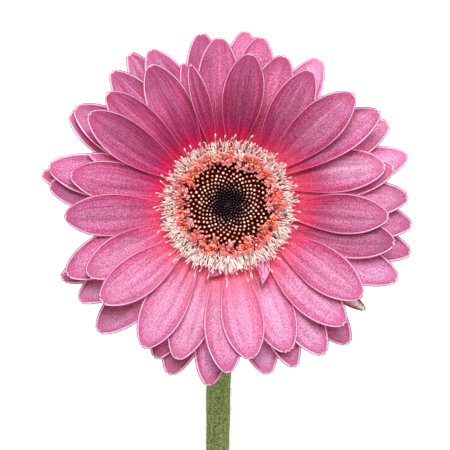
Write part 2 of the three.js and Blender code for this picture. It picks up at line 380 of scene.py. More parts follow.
def use_group(wires, builder, inputs):
    """Places the node group that builder makes, which is made only once."""
    name = {grain_group: "Plant grain", mottle_group: "Mottle"}[builder]
    node = wires.add("ShaderNodeGroup", node_tree=bpy.data.node_groups.get(name) or builder())
    for key, value in inputs.items():
        wires.feed(node.inputs[key], value)
    return node


def grain(wires, along, veins, cells):
    """The vein, the cell and the height of the plant grain along a surface."""
    return use_group(wires, grain_group, {"Along": along, "Veins": veins, "Cells": cells}).outputs


def new_material(name, **settings):
    """A material with a Principled shader that holds settings, its wires and that shader."""
    material = bpy.data.materials.new(name)
    material.use_nodes = True
    shader = material.node_tree.nodes["Principled BSDF"]
    for key, value in settings.items():
        shader.inputs[key.replace("_", " ")].default_value = value
    return material, Wires(material.node_tree), shader


def paint(wires, shader, shade, height, depth, painted_glow=0.0, lit=None):
    """Gives a shader its colour, a bump of depth mm, and a painted glow in that colour or in lit."""
    wires.feed(shader.inputs["Base Color"], shade)
    bump = wires.add("ShaderNodeBump", {"Height": height, "Distance": depth * MM, "Strength": 1.0})
    wires.feed(shader.inputs["Normal"], bump.outputs[0])
    # The glow is painted light: it lifts the shade as if light came through.
    if painted_glow:
        wires.feed(shader.inputs["Emission Color"], shade if lit is None else lit)
        shader.inputs["Emission Strength"].default_value = painted_glow


def speckled(wires, shade, patch, speck, low, high):
    """shade darkened and lightened in patches and specks, and a height for a bump."""
    mottle = use_group(wires, mottle_group, {"Patch": patch, "Speck": speck})
    shade = wires.tinted(shade, wires.span(mottle.outputs["Mask"], 0.3, 0.7, low, high))
    return shade, mottle.outputs["Height"]


def petal_readings(wires):
    """What a ray floret's colours depend on, as named sockets.

    vein, pleat and cell are its grain, offset is how far a point lies from the midline, reach is the
    radius at which its colour is looked up, and outward fades the blade's effects out at the base.
    """
    names = ("head_radius", "tone", "flushed", "bloom", "crease", "end", "dim", "edge", "underside", "dry")
    read = SimpleNamespace(**dict(zip(names, wires.attributes(*names))))
    flat = wires.add("ShaderNodeUVMap", uv_map="UVMap").outputs[0]
    along = wires.vector("ADD", flat, wires.combine(wires.times(read.tone, 31.0)))
    read.vein, read.cell, read.height = grain(wires, along, 26.0, 2300.0)
    read.pleat, _, _ = grain(wires, along, 9.0, 2300.0)
    read.offset = wires.math("ABSOLUTE", wires.math("SUBTRACT", wires.part(flat, "X"), 0.5))
    uneven = wires.math("ADD", read.head_radius, wires.span(read.vein, 0.3, 0.7, -1.8, 1.8))
    read.reach = wires.math("SUBTRACT", uneven, read.flushed)
    read.outward = wires.span(read.reach, 22.0, 33.0, 0.12, 1.0, smooth=True)
    return read


def blade_colour(wires, read, sizes):
    """The blade from its crimson base to its tip, with veins, pleats, a painted sheen and painted light."""
    pale, warm = (1.0, 0.52, 0.72), (1.0, 0.22, 0.28)
    shades = sizes.base, sizes.base, sizes.flush, sizes.blade, sizes.tip
    shade = wires.ramp(wires.span(read.reach, 15.0, 55.0), list(zip((0.0, 0.18, 0.24, 0.34, 0.75), shades)))
    shade = wires.tinted(shade, wires.span(read.vein, 0.38, 0.62, 0.7, 1.22))
    shade = wires.tinted(shade, wires.span(read.pleat, 0.36, 0.64, 0.76, 1.22))
    # Painted sheen: the middle of the blade is made paler, as where light would catch it.
    middle = wires.times(wires.span(read.offset, 0.14, 0.46, 1.0, 0.0, smooth=True), read.outward)
    shade = wires.blend(wires.times(middle, read.bloom), shade, pale)
    # Painted light: the bases of the lower florets are made warmer and brighter, as if lit.
    inner = wires.span(read.head_radius, 23.0, 29.0, 1.0, 0.0)
    return wires.blend(wires.times(inner, wires.span(read.bloom, 0.2, 0.35, 0.0, 0.35)), shade, warm)


def blade_grain(wires, read, shade):
    """shade with stippled cells, painted shade on flanks and creases, a deeper tip, tone and painted shading.
    """
    dark_cell, light_cell, sparkle = (0.77, 0.45, 0.61), (1.08, 1.18, 1.2), (1.0, 0.42, 0.66)
    painted_flank_shade, painted_crease_shade, tip_colour = (0.46, 0.025, 0.14), (0.34, 0.03, 0.1), (0.62, 0.085, 0.25)
    stipple = wires.blend(wires.span(read.cell, 0.36, 0.6), dark_cell, light_cell)
    shade = wires.blend(wires.span(read.bloom, 0.0, 0.3, 0.7, 1.0), shade, stipple, "MULTIPLY")
    # Pale cell specks, stronger where the painted sheen is.
    speck = wires.times(wires.span(read.cell, 0.52, 0.66, 0.0, 0.32), read.outward)
    shade = wires.blend(wires.times(speck, wires.span(read.bloom, 0.0, 0.3, 0.3, 1.0)), shade, sparkle)
    # Painted shade: the blade's flanks are darker, to round it.
    flank = wires.times(wires.span(read.offset, 0.27, 0.49, 0.0, 0.42, smooth=True), read.outward)
    shade = wires.blend(flank, shade, painted_flank_shade)
    # Painted shade in the creases.
    shade = wires.blend(wires.times(read.crease, 0.46), shade, painted_crease_shade)
    shade = wires.blend(wires.span(read.end, 0.4, 6.0, 0.75, 0.0, smooth=True), shade, tip_colour)
    shade = wires.tinted(shade, wires.span(read.tone, 0.0, 1.0, 0.93, 1.07))
    # Painted light and shade from the floret's place on the head.
    return wires.tinted(shade, read.dim)


def petal_margin(wires, read, sizes):
    """A mask of the pale margin, its colour, and a mask of a painted shadow line outside it."""
    thin = wires.math("DIVIDE", read.edge, wires.span(read.head_radius, 18.0, 48.0, 0.7, 1.3))
    # The pale margin is partly paler tissue and partly a painted highlight on the curled edge.
    rim = wires.span(thin, 0.36, 0.6, 1.0, 0.0, smooth=True)
    rim = wires.times(rim, wires.span(read.head_radius, 22.0, 46.0, 0.45, 0.95))
    rim = wires.times(rim, wires.span(read.cell, 0.35, 0.55, 0.72, 1.0))
    hem = wires.blend(wires.span(read.head_radius, 24.0, 38.0), (1.0, 0.25, 0.36), sizes.margin)
    # The last mask is a painted contact shadow along the very edge.
    return rim, hem, wires.span(read.edge, 0.17, 0.31, 0.92, 0.0, smooth=True)


def withered_colour(wires, read):
    """Papery cream along the middle, brown at the sides and almost black at the margin."""
    cream, brown, black = (1.0, 0.82, 0.7), (0.32, 0.1, 0.09), (0.08, 0.02, 0.02)
    shade = wires.blend(wires.span(read.offset, 0.1, 0.38), cream, brown)
    shade = wires.blend(0.8, shade, wires.span(read.cell, 0.4, 0.6, 0.45, 1.15), "MULTIPLY")
    return wires.blend(wires.span(read.edge, 0.1, 0.5), black, shade)


def petal_material(sizes):
    """Satin ray floret: crimson base, mauve blade, veins, pale margin, paler back, painted light and shade.
    """
    material, wires, shader = new_material(
        "Ray floret",
        IOR=1.52,
        Specular_IOR_Level=0.4,
        Specular_Tint=(1.0, 0.9, 1.0, 1.0),
        Subsurface_Weight=0.7,
        Subsurface_Radius=(1.0, 0.45, 0.6),
        Subsurface_Scale=1.2 * MM,
    )
    # A painted glow: the floret glows a little, as if light shone through it, its margin most.
    base_glow, blade_glow, back_glow = (0.22, 0.0, 0.015), (0.11, 0.0, 0.01), (0.5, 0.16, 0.28)
    # dark is a painted contact shadow along the very edge.
    dark, none = (0.22, 0.03, 0.09), (0.0, 0.0, 0.0)
    read = petal_readings(wires)
    rim, hem, line = petal_margin(wires, read, sizes)
    blade = blade_grain(wires, read, blade_colour(wires, read, sizes))
    face = wires.blend(line, wires.blend(rim, blade, hem), dark)
    back = wires.tinted(sizes.underside, wires.span(read.vein, 0.3, 0.7, 0.82, 1.1))
    papery = withered_colour(wires, read)
    shade = wires.blend(read.dry, wires.blend(read.underside, face, back), papery)
    painted_glow = wires.ramp(wires.span(read.head_radius, 20.0, 30.0), [(0.0, base_glow), (0.6, blade_glow)])
    painted_glow = wires.blend(line, wires.blend(rim, painted_glow, hem), none)
    painted_glow = wires.blend(read.dry, wires.blend(read.underside, painted_glow, back_glow), papery)
    paint(wires, shader, shade, read.height, 0.12, 0.38, painted_glow)
    wires.feed(shader.inputs["Roughness"], wires.span(read.cell, 0.3, 0.7, 0.29, 0.38))
    return material


def bud_material(sizes):
    """Waxy dark bud with a cream tip that pales as the bud ripens."""
    material, wires, shader = new_material("Disc bud", Roughness=0.42, Specular_IOR_Level=0.25)
    pink, rust, foot = (0.85, 0.42, 0.42), (0.5, 0.12, 0.05), (0.15, 0.014, 0.008)
    unripe_tip, unripe_flank = (0.034, 0.024, 0.038), (0.03, 0.015, 0.028)
    share, ripe, tone = wires.attributes("share", "mark", "tone")
    tip = wires.blend(wires.span(tone, 0.0, 1.0, 0.0, 0.4), sizes.bud_tip, pink)
    tip = wires.blend(wires.span(share, 0.64, 0.78), rust, tip)
    tip = wires.blend(ripe, unripe_tip, tip)
    flank = wires.blend(ripe, unripe_flank, sizes.bud)
    flank = wires.blend(wires.span(share, 0.1, 0.5), foot, flank)
    shade = wires.blend(wires.span(share, 0.6, 0.7, smooth=True), flank, tip)
    shade, height = speckled(wires, shade, 400.0, 3200.0, 0.88, 1.2)
    # A painted glow lifts the bud's shade.
    paint(wires, shader, shade, height, 0.06, 0.2)
    return material


def bed_material():
    """Dark bed between the buds and under the bristles, redder where the trans florets stand."""
    material, wires, shader = new_material("Floret bed", Roughness=0.75, Specular_IOR_Level=0.05)
    shade_by_share = [
        (0.0, (0.006, 0.006, 0.012)),
        (0.22, (0.012, 0.004, 0.008)),
        (0.36, (0.085, 0.012, 0.005)),
        (0.56, (0.09, 0.008, 0.005)),
        (0.66, (0.4, 0.03, 0.03)),
        (0.76, (0.5, 0.05, 0.05)),
        (0.82, (0.12, 0.035, 0.022)),
        (0.92, (0.08, 0.024, 0.015)),
    ]
    (radius,) = wires.attributes("head_radius")
    shade = wires.ramp(wires.span(radius, 0.0, 20.0), shade_by_share)
    shade, height = speckled(wires, shade, 500.0, 2600.0, 0.6, 1.3)
    paint(wires, shader, shade, height, 0.25)
    return material


def trans_material(sizes):
    """Coral tube, pale pink curled lips and orange anthers."""
    material, wires, shader = new_material("Trans floret", Roughness=0.45, Specular_IOR_Level=0.4)
    orange, crimson, deep = (0.84, 0.2, 0.08), (0.5, 0.015, 0.05), (0.25, 0.012, 0.02)
    pale_lip, pollen, loop_pink = (1.0, 0.62, 0.6), (0.9, 0.7, 0.35), (1.0, 0.5, 0.47)
    share, kind, edge, tone = wires.attributes("share", "kind", "edge", "tone")
    warm = wires.blend(tone, sizes.coral, orange)
    warm = wires.blend(wires.span(tone, 0.0, 0.3, 0.75, 0.0), warm, crimson)
    # Painted shade: darker down inside the tube's hollow.
    tube = wires.blend(wires.span(share, 0.62, 0.9), warm, deep)
    rim = wires.times(wires.span(edge, 0.4, 0.9), wires.span(share, 0.05, 0.35))
    paler = wires.blend(wires.span(tone, 0.5, 1.0), sizes.lip, pale_lip)
    lip = wires.blend(wires.math("MAXIMUM", rim, wires.span(share, 0.3, 0.75)), warm, paler)
    anther = wires.blend(wires.span(share, 0.55, 0.9), sizes.anther, pollen)
    loop = wires.blend(wires.span(tone, 0.0, 1.0, 0.0, 0.4), loop_pink, sizes.lip)
    shade = tube
    for number, colour in enumerate((lip, anther, loop)):
        shade = wires.blend(wires.span(kind, number + 0.2, number + 0.8), shade, colour)
    shade, height = speckled(wires, shade, 600.0, 3000.0, 0.8, 1.15)
    # A painted glow lifts the florets' shade.
    paint(wires, shader, shade, height, 0.08, 0.22)
    return material


def bristle_material(sizes):
    """Cream bristle, browner towards its foot as painted shade, with a white knob where it has one."""
    material, wires, shader = new_material("Bristle", Roughness=0.55, Specular_IOR_Level=0.35)
    pink, thread_pink, white = (0.86, 0.46, 0.46), (0.88, 0.36, 0.42), (0.95, 0.88, 0.84)
    painted_foot_shade, tan = (0.07, 0.018, 0.012), (0.5, 0.19, 0.13)
    share, tone, mark = wires.attributes("share", "tone", "mark")
    stalk = wires.blend(wires.span(tone, 0.4, 1.0, 0.0, 0.7), sizes.bristle, pink)
    stalk = wires.blend(mark, stalk, thread_pink)
    # Painted shade: dark at the foot, deep in the fringe, then tan.
    foot = wires.blend(wires.span(share, 0.0, 0.4), painted_foot_shade, tan)
    shade = wires.blend(wires.span(share, 0.22, 0.5), foot, stalk)
    shade = wires.blend(wires.span(share, 0.72, 0.9), shade, white)
    shade, height = speckled(wires, shade, 700.0, 3400.0, 0.85, 1.1)
    # A painted glow lifts the fringe's shade.
    paint(wires, shader, shade, height, 0.05, 0.21)
    return material


def bract_material(sizes):
    """Dull green bract with long veins, paler edges and a reddish tip."""
    material, wires, shader = new_material("Bract", Roughness=0.6, Specular_IOR_Level=0.3)
    share, edge, tone = wires.attributes("share", "edge", "tone")
    along = wires.combine(wires.math("ADD", edge, wires.times(tone, 17.0)), share)
    vein, cell, height = grain(wires, along, 16.0, 1900.0)
    shade = wires.blend(wires.span(share, 0.7, 1.0), sizes.bract, sizes.bract_tip)
    shade = wires.blend(wires.span(edge, 0.75, 1.0, 0.0, 0.5), shade, (0.3, 0.36, 0.16))
    shade = wires.tinted(shade, wires.span(vein, 0.3, 0.7, 0.7, 1.25))
    paint(wires, shader, shade, height, 0.2)
    wires.feed(shader.inputs["Roughness"], wires.span(cell, 0.3, 0.7, 0.5, 0.7))
    return material


def stem_material(sizes):
    """Soft green stem, mottled, with painted shade in its rib grooves and a pale pithy cut end."""
    material, wires, shader = new_material("Stem skin", Roughness=0.55, Specular_IOR_Level=0.3)
    groove, cut = wires.attributes("groove", "cut")
    flat = wires.add("ShaderNodeUVMap", uv_map="UVMap").outputs[0]
    vein, cell, height = grain(wires, flat, 60.0, 1700.0)
    # Painted shade: darker along the rib grooves.
    shade = wires.blend(wires.span(groove, 0.0, 1.0, 0.0, 0.2), sizes.stem, (0.1, 0.17, 0.045))
    shade = wires.tinted(shade, wires.span(vein, 0.3, 0.7, 0.85, 1.15))
    shade, _ = speckled(wires, shade, 1300.0, 2900.0, 0.15, 1.9)
    shade = wires.tinted(shade, wires.span(cell, 0.3, 0.7, 0.8, 1.2))
    # A painted glow lifts the stem's shade, and its cut end's.
    paint(wires, shader, wires.blend(cut, shade, sizes.pith), height, 0.25, 0.33)
    return material


def hair_material():
    """Pale downy hair, greener at its foot."""
    material, wires, shader = new_material("Down", Roughness=0.5, Specular_IOR_Level=0.3)
    (share,) = wires.attributes("share")
    wires.feed(shader.inputs["Base Color"], wires.blend(share, (0.24, 0.34, 0.13), (0.62, 0.68, 0.48)))
    return material


# Meshes


def new_mesh(name, points, faces, attributes):
    """A smooth mesh from points in metres, with one number a point under each attribute's name."""
    mesh = bpy.data.meshes.new(name)
    mesh.from_pydata(points.tolist(), [], faces)
    mesh.polygons.foreach_set("use_smooth", [True] * len(mesh.polygons))
    for key, values in attributes.items():
        layer = mesh.attributes.new(key, "FLOAT", "POINT")
        layer.data.foreach_set("value", np.asarray(values, dtype=np.float32))
    return mesh


def place_object(name, data):
    """A new object that holds data, in the scene."""
    thing = bpy.data.objects.new(name, data)
    bpy.context.scene.collection.objects.link(thing)
    return thing


def mesh_object(name, points, faces, material, attributes, uv=None):
    """A mesh object in the world from head-frame points. uv holds one (u, v) for each point."""
    mesh = new_mesh(name, in_world(points), faces, attributes)
    if uv is not None:
        corners = np.empty(len(mesh.loops), dtype=np.int32)
        mesh.loops.foreach_get("vertex_index", corners)
        layer = mesh.uv_layers.new(name="UVMap")
        layer.data.foreach_set("uv", np.asarray(uv, dtype=np.float32)[corners].ravel())
    mesh.materials.append(material)
    mesh.update()
    return place_object(name, mesh)


def declare(thing, slot, *nodes):
    """Hangs a finished piece on what it rides on and hides the CAD nodes it stands for. slot is not used."""
    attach(thing, "root")
    if nodes:
        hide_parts(*nodes)


def smooth_step(value, low, high):
    """0 up to low and 1 from high on, with an S-curve between them."""
    share = np.clip((value - low) / (high - low), 0.0, 1.0)
    return share * share * (3 - 2 * share)


def bell(value, middle, width):
    """1 at middle, falling away smoothly over about width on each side."""
    return np.exp(-(((value - middle) / width) ** 2))


def unit(vectors):
    """Vectors, one a row, made 1 long."""
    return vectors / np.linalg.norm(vectors, axis=-1, keepdims=True)


def round_turns(count):
    """count angles spread evenly round a circle."""
    return np.arange(count) * 2 * math.pi / count


def oval_rings(centres, sides, uppers, widths, depths, count):
    """A ring of count points round each centre, widths wide along sides and depths along uppers."""
    across, over = np.cos(round_turns(count)), np.sin(round_turns(count))
    return (
        centres[:, None]
        + sides[:, None] * (widths[:, None] * across)[:, :, None]
        + uppers[:, None] * (depths[:, None] * over)[:, :, None]
    )


def tube_faces(steps, count):
    """Faces of a tube of steps rings with count points each, and two end points after them."""
    faces = []
    for step in range(steps - 1):
        for index in range(count):
            after = (index + 1) % count
            low, high = step * count, (step + 1) * count
            faces.append((low + index, low + after, high + after, high + index))
    first, last = steps * count, steps * count + 1
    for index in range(count):
        after = (index + 1) % count
        faces.append((first, after, index))
        faces.append((last, last - 1 - count + index, last - 1 - count + after))
    return faces


def closed_tube(rings, start, end):
    """A closed tube of rings: its points, its faces, and each point's share along it and side.

    The share runs from 0 at the first ring to 1 at the last, and the side is 1 where a ring is
    widest. Each end closes on a point of its own.
    """
    steps, count, _ = rings.shape
    points = np.concatenate([rings.reshape(-1, 3), [start, end]])
    share = np.concatenate([np.repeat(np.linspace(0, 1, steps), count), [0.0, 1.0]])
    edge = np.concatenate([np.tile(np.abs(np.cos(round_turns(count))), steps), [0.0, 0.0]])
    return points, tube_faces(steps, count), share, edge


def curve_through(stops, steps):
    """Points along a smooth curve through stops, evenly spread between them."""
    stops = np.asarray(stops, dtype=float)
    ends = np.concatenate([2 * stops[:1] - stops[1:2], stops, 2 * stops[-1:] - stops[-2:-1]])
    places = np.linspace(0, len(stops) - 1, steps)
    index = np.minimum(places.astype(int), len(stops) - 2)
    share = (places - index)[:, None]
    before, start, end, after = (ends[index + offset] for offset in range(4))
    return 0.5 * (
        2 * start
        + (end - before) * share
        + (2 * before - 5 * start + 4 * end - after) * share**2
        + (3 * start - before - 3 * end + after) * share**3
    )


def square_to(along, side):
    """Sides as near to side as square to along allows, and the directions square to both."""
    uppers = unit(np.cross(along, np.asarray(side)))
    return np.cross(uppers, along), uppers


def strand(stops, widths, depths, count, steps, side=(1.0, 0.0, 0.0)):
    """A tube along a curve, whose widest direction stays near side."""
    centres = curve_through(stops, steps)
    sides, uppers = square_to(unit(np.gradient(centres, axis=0)), side)
    places = np.linspace(0, 1, steps)
    wide, deep = (np.interp(places, np.linspace(0, 1, len(sizes)), sizes) for sizes in (widths, depths))
    rings = oval_rings(centres, sides, uppers, wide, deep, count)
    return closed_tube(rings, centres[0], centres[-1])


def turned(profile, count):
    """A solid of revolution about +Z through (radius, height) stops."""
    profile = np.asarray(profile, dtype=float)
    centres = np.stack([np.zeros(len(profile)), np.zeros(len(profile)), profile[:, 1]], axis=1)
    sides = np.tile([1.0, 0.0, 0.0], (len(profile), 1))
    uppers = np.tile([0.0, 1.0, 0.0], (len(profile), 1))
    rings = oval_rings(centres, sides, uppers, profile[:, 0], profile[:, 0], count)
    return closed_tube(rings, centres[0], centres[-1])


def small_piece(name, tubes, *kinds):
    """A small mesh at the origin for nodes to repeat, from closed tubes and a kind for each."""
    points, faces = [], []
    marks = {"share": [], "edge": [], "kind": []}
    start = 0
    for index, (tube_points, tube_corners, share, edge) in enumerate(tubes):
        points.append(tube_points)
        faces += [tuple(start + corner for corner in face) for face in tube_corners]
        start += len(tube_points)
        kind = np.full(len(tube_points), kinds[index] if kinds else 0.0)
        for values, part in zip(marks.values(), (share, edge, kind)):
            values.append(part)
    marks = {key: np.concatenate(values) for key, values in marks.items()}
    mesh = new_mesh(name, np.concatenate(points) * MM, faces, marks)
    mesh.update()
    return bpy.data.objects.new(name, mesh)


# Repeating by nodes


class Place(NamedTuple):
    """Where one repeated piece stands: its foot, its three axes as rows and its size along them.

    The variant picks the piece, and tone and mark are two numbers from 0 to 1 for its colour.
    """

    foot: tuple
    axes: np.ndarray
    size: tuple
    variant: int
    tone: float
    mark: float


def standing(radius, azimuth, height, lean, spin=0.0, swing=0.0):
    """A foot and axes for a piece that leans outwards by lean, radians from the head's axis."""
    outward = np.array([math.cos(azimuth + swing), math.sin(azimuth + swing), 0.0])
    rise = outward * math.sin(lean) + UP * math.cos(lean)
    forward = outward * math.cos(lean) - UP * math.sin(lean)
    side = np.cross(forward, rise)
    turned_side = side * math.cos(spin) + forward * math.sin(spin)
    foot = (radius * math.cos(azimuth), radius * math.sin(azimuth) + CENTRE_SHIFT, height)
    return foot, np.array([turned_side, np.cross(rise, turned_side), rise])


def spread_azimuth(index, count, chance, jitter):
    """The azimuth of one of count pieces round the head, up to jitter of their spacing off its even place."""
    return (index + chance.uniform(-jitter, jitter)) * 2 * math.pi / count


def scatter_tree():
    """Repeats pieces on a mesh's points by the points' own turn, size and variant, with jitter."""
    inputs = {
        "Points": (GEOMETRY, None),
        "Pieces": (COLLECTION, None),
        "Jitter angle": (FLOAT, 0.05),
        "Jitter size": (FLOAT, 0.05),
        "Seed": (INT, 1),
        "Material": (MATERIAL, None),
    }
    wires, given, result = new_group("Scatter", "GeometryNodeTree", inputs, {"Geometry": (GEOMETRY, None)})
    given = given.outputs
    info = {"Collection": given["Pieces"], "Separate Children": True, "Reset Children": True}
    low = wires.math("SUBTRACT", 1.0, given["Jitter size"])
    high = wires.math("ADD", 1.0, given["Jitter size"])
    spread = wires.random("FLOAT", low, high, given["Seed"])
    placing = {
        "Points": given["Points"],
        "Instance": wires.add("GeometryNodeCollectionInfo", info).outputs[0],
        "Pick Instance": True,
        "Instance Index": wires.named("variant", "INT"),
        "Rotation": wires.named("turn", "FLOAT_VECTOR"),
        "Scale": wires.vector("MULTIPLY", wires.named("size", "FLOAT_VECTOR"), spread),
    }
    wires.finish(wires.repeat(placing, given["Jitter angle"], given["Seed"]), given["Material"], result)
    return wires.tree


def fur_tree():
    """Stands a piece all over a skin, square to it and then leaned at random."""
    inputs = {
        "Skin": (GEOMETRY, None),
        "Piece": (OBJECT, None),
        "Density": (FLOAT, 1000.0),
        "Lean": (FLOAT, 0.6),
        "Size": (FLOAT, 1.0),
        "Seed": (INT, 1),
        "Material": (MATERIAL, None),
    }
    wires, given, result = new_group("Fur", "GeometryNodeTree", inputs, {"Geometry": (GEOMETRY, None)})
    given = given.outputs
    spots = {"Mesh": given["Skin"], "Density": given["Density"], "Seed": given["Seed"]}
    spread = wires.add("GeometryNodeDistributePointsOnFaces", spots, use_legacy_normal=False)
    shortest, longest = wires.times(given["Size"], 0.6), wires.times(given["Size"], 1.25)
    placing = {
        "Points": spread.outputs["Points"],
        "Instance": wires.add("GeometryNodeObjectInfo", {"Object": given["Piece"]}).outputs["Geometry"],
        "Rotation": spread.outputs["Rotation"],
        "Scale": wires.random("FLOAT", shortest, longest, given["Seed"]),
    }
    wires.finish(wires.repeat(placing, given["Lean"], given["Seed"]), given["Material"], result)
    return wires.tree


def run_nodes(thing, tree, values):
    """Runs a node tree on an object once and leaves its result as the object's plain mesh."""
    modifier = thing.modifiers.new(tree.name, "NODES")
    modifier.node_group = tree
    for item in tree.interface.items_tree:
        if item.in_out == "INPUT" and item.name in values:
            modifier[item.identifier] = values[item.name]
    graph = bpy.context.evaluated_depsgraph_get()
    made = bpy.data.meshes.new_from_object(
        thing.evaluated_get(graph), preserve_all_data_layers=True, depsgraph=graph
    )
    thing.modifiers.clear()
    spent = thing.data
    thing.data = made
    made.name = thing.name
    bpy.data.meshes.remove(spent)
    if not made.polygons:
        raise RuntimeError(f"{tree.name} made nothing for {thing.name}")
    return thing


def scatter(name, pieces, places, material, seed, angle, size):
    """One mesh that repeats pieces at places, jittered by angle and size. The pieces are used up."""
    mesh = bpy.data.meshes.new(name)
    mesh.from_pydata(in_world(np.array([place.foot for place in places])).tolist(), [], [])
    turn = np.array(HEAD.to_3x3().normalized())
    columns = (
        ("turn", "FLOAT_VECTOR", [Matrix(turn @ place.axes.T).to_euler() for place in places]),
        ("size", "FLOAT_VECTOR", [place.size for place in places]),
        ("variant", "INT", [place.variant for place in places]),
        ("tone", "FLOAT", [place.tone for place in places]),
        ("mark", "FLOAT", [place.mark for place in places]),
    )
    for key, kind, values in columns:
        field = "vector" if kind == "FLOAT_VECTOR" else "value"
        values = np.array(values, dtype=np.int32 if kind == "INT" else np.float32)
        mesh.attributes.new(key, kind, "POINT").data.foreach_set(field, values.ravel())
    thing = place_object(name, mesh)
    store = bpy.data.collections.new(f"{name}_pieces")
    for piece in pieces:
        store.objects.link(piece)
    tree = bpy.data.node_groups.get("Scatter") or scatter_tree()
    values = {"Pieces": store, "Jitter angle": angle, "Jitter size": size, "Seed": seed, "Material": material}
    run_nodes(thing, tree, values)
    for piece in pieces:
        bpy.data.meshes.remove(piece.data)
    bpy.data.collections.remove(store)
    return thing


# Ray florets


def arch(run, base_angle, tip_angle, drop):
    """Height along a floret as a quadratic in its share, from its angles at both ends in degrees."""
    base, tip = math.tan(math.radians(base_angle)), math.tan(math.radians(tip_angle))
    return run * (tip - base) / 2, run * base, -drop


class FloretPlan(NamedTuple):
    """Where a ray floret lies: radii, azimuths, half its width, its height along it, and its roll."""

    base_radius: float
    reach: float
    base_azimuth: float
    tip_azimuth: float
    half_width: float
    height: tuple
    roll: float


# Where the ray florets start, and how steeply the front row climbs there and at its tips, degrees.
BASE_RADIUS = 13.5
BASE_ANGLE, TIP_ANGLE = 28, 6
# The front row's midline, which the rows behind it follow.
FRONT = FloretPlan(BASE_RADIUS, 54.0, 0.0, 0.0, 5.0, arch(40.5, BASE_ANGLE, TIP_ANGLE, 0.0), 0.0)
# A blade's rows of points along it and across it, and the share of its run where its tip turns blunt.
ROWS, COLUMNS = 40, 26
BLUNT = 0.982


def outline(v):
    """Half the width at v, from 0 at the base to 1 at the tip, as a share of the greatest."""
    return np.sin(np.pi * np.clip(v, 0, 1) ** 1.5) ** 0.6


def neighbours(ring, seen):
    """The points next to a ring's points that aren't in seen."""
    return {edge.other_vert(vert) for vert in ring for edge in vert.link_edges} - seen


def rings_of(node):
    """A ray floret solid's rings of points from its tip to its base, the tip itself first."""
    solid = welded(node)
    place = {vert: TO_HEAD @ vert.co for vert in solid.verts}
    ring = {max(solid.verts, key=lambda vert: place[vert].to_2d().length)}
    seen = set(ring)
    rings = []
    while ring:
        rings.append(np.array([place[vert] for vert in sorted(ring, key=lambda vert: vert.index)]))
        ring = neighbours(ring, seen)
        seen |= ring
    solid.free()
    return rings


def measure_floret(node):
    """Reads a ray floret's plan back from its CAD solid."""
    tip, *rings = rings_of(node)
    middles, sides = [], []
    for ring in rings:
        gaps = np.linalg.norm(ring[:, None] - ring[None], axis=2)
        first, second = np.unravel_index(gaps.argmax(), gaps.shape)
        side = (ring[first] - ring[second]) / 2
        if np.cross(ring.mean(axis=0), side)[2] < 0:
            side = -side
        along_side = np.abs((ring - (ring[first] + ring[second]) / 2) @ side)
        middles.append(ring[np.argsort(along_side)[:2]].mean(axis=0))
        sides.append(side)
    middles = np.array([tip[0], *middles])
    radii = np.hypot(middles[:, 0], middles[:, 1])
    azimuths = np.unwrap(np.arctan2(middles[:, 1], middles[:, 0]))
    share = (radii - radii[-1]) / (radii[0] - radii[-1])
    height = np.polyfit(share, middles[:, 2], 2)
    azimuth_slope, base_azimuth = np.polyfit(share, azimuths, 1)
    widths = np.linalg.norm(sides, axis=1)
    half_width = np.median(widths[:-1] / outline(share[1:-1]))
    azimuths = base_azimuth, base_azimuth + azimuth_slope
    plan = FloretPlan(radii[-1], radii[0], *azimuths, half_width, tuple(height), 0.0)
    middle = len(sides) // 2
    _, _, level, upper = spine(plan, share[1 + middle : 2 + middle])
    roll = math.atan2(-sides[middle] @ upper[0], sides[middle] @ level[0])
    return plan._replace(roll=roll)


def bow(radius, azimuth, droop):
    """How far the ray florets sink at a place. They bow least where the surface holds them up."""
    share = 1.0 - 0.75 * smooth_step(np.sin(azimuth), -0.3, 1.0)
    return droop * np.maximum(0.0, (radius - 34.0) / 20.0) ** 2 * share


def gather(points, closing):
    """Draws points up towards the front row's surface, least near the tips at the top, which must rest."""
    radius = np.hypot(points[..., 0], points[..., 1])
    share = (radius - FRONT.base_radius) / (FRONT.reach - FRONT.base_radius)
    front = np.polyval(FRONT.height, np.clip(share, 0.0, 1.1))
    upward = points[..., 1] / np.maximum(radius, 1e-6)
    closing = closing * (1.0 - 0.8 * smooth_step(upward, 0.1, 0.95) * smooth_step(radius, 24.0, 42.0))
    gathered = points.copy()
    gathered[..., 2] += closing * (front - points[..., 2])
    return gathered


def spine(plan, v, droop=0.0):
    """Points, headings, sides and upper faces of a ray floret's midline at each v."""

    def at(share):
        azimuth = plan.base_azimuth + (plan.tip_azimuth - plan.base_azimuth) * share
        radius = plan.base_radius + (plan.reach - plan.base_radius) * share
        height = np.polyval(plan.height, share) - bow(radius, azimuth, droop)
        return np.stack([radius * np.cos(azimuth), radius * np.sin(azimuth), height], axis=1)

    along = unit(at(v + 0.01) - at(v - 0.01))
    side = unit(np.cross(UP, along))
    upper = np.cross(along, side)
    rolled = side * math.cos(plan.roll) - upper * math.sin(plan.roll)
    return at(v), along, rolled, np.cross(along, rolled)


class Blade(NamedTuple):
    """A ray floret's middle skin, in rows of points from its base to its tip.

    Upper holds each row's way up. The rest holds one number a point: its thickness, its places
    across (-1 to 1) and down the blade (0 to 1), its distance from the margin, and its crease.
    """

    skin: np.ndarray
    upper: np.ndarray
    thickness: np.ndarray
    across: np.ndarray
    down: np.ndarray
    edge: np.ndarray
    crease: np.ndarray


def blade_grid():
    """Places across and down a blade, closer together at its sides and towards its tip."""
    down = (1 - (1 - np.linspace(0, 1, ROWS + 1)) ** 1.35) * BLUNT
    even = np.linspace(-1, 1, COLUMNS + 1)
    return np.meshgrid(np.sin(even * math.pi / 2) * 0.35 + even * 0.65, down)


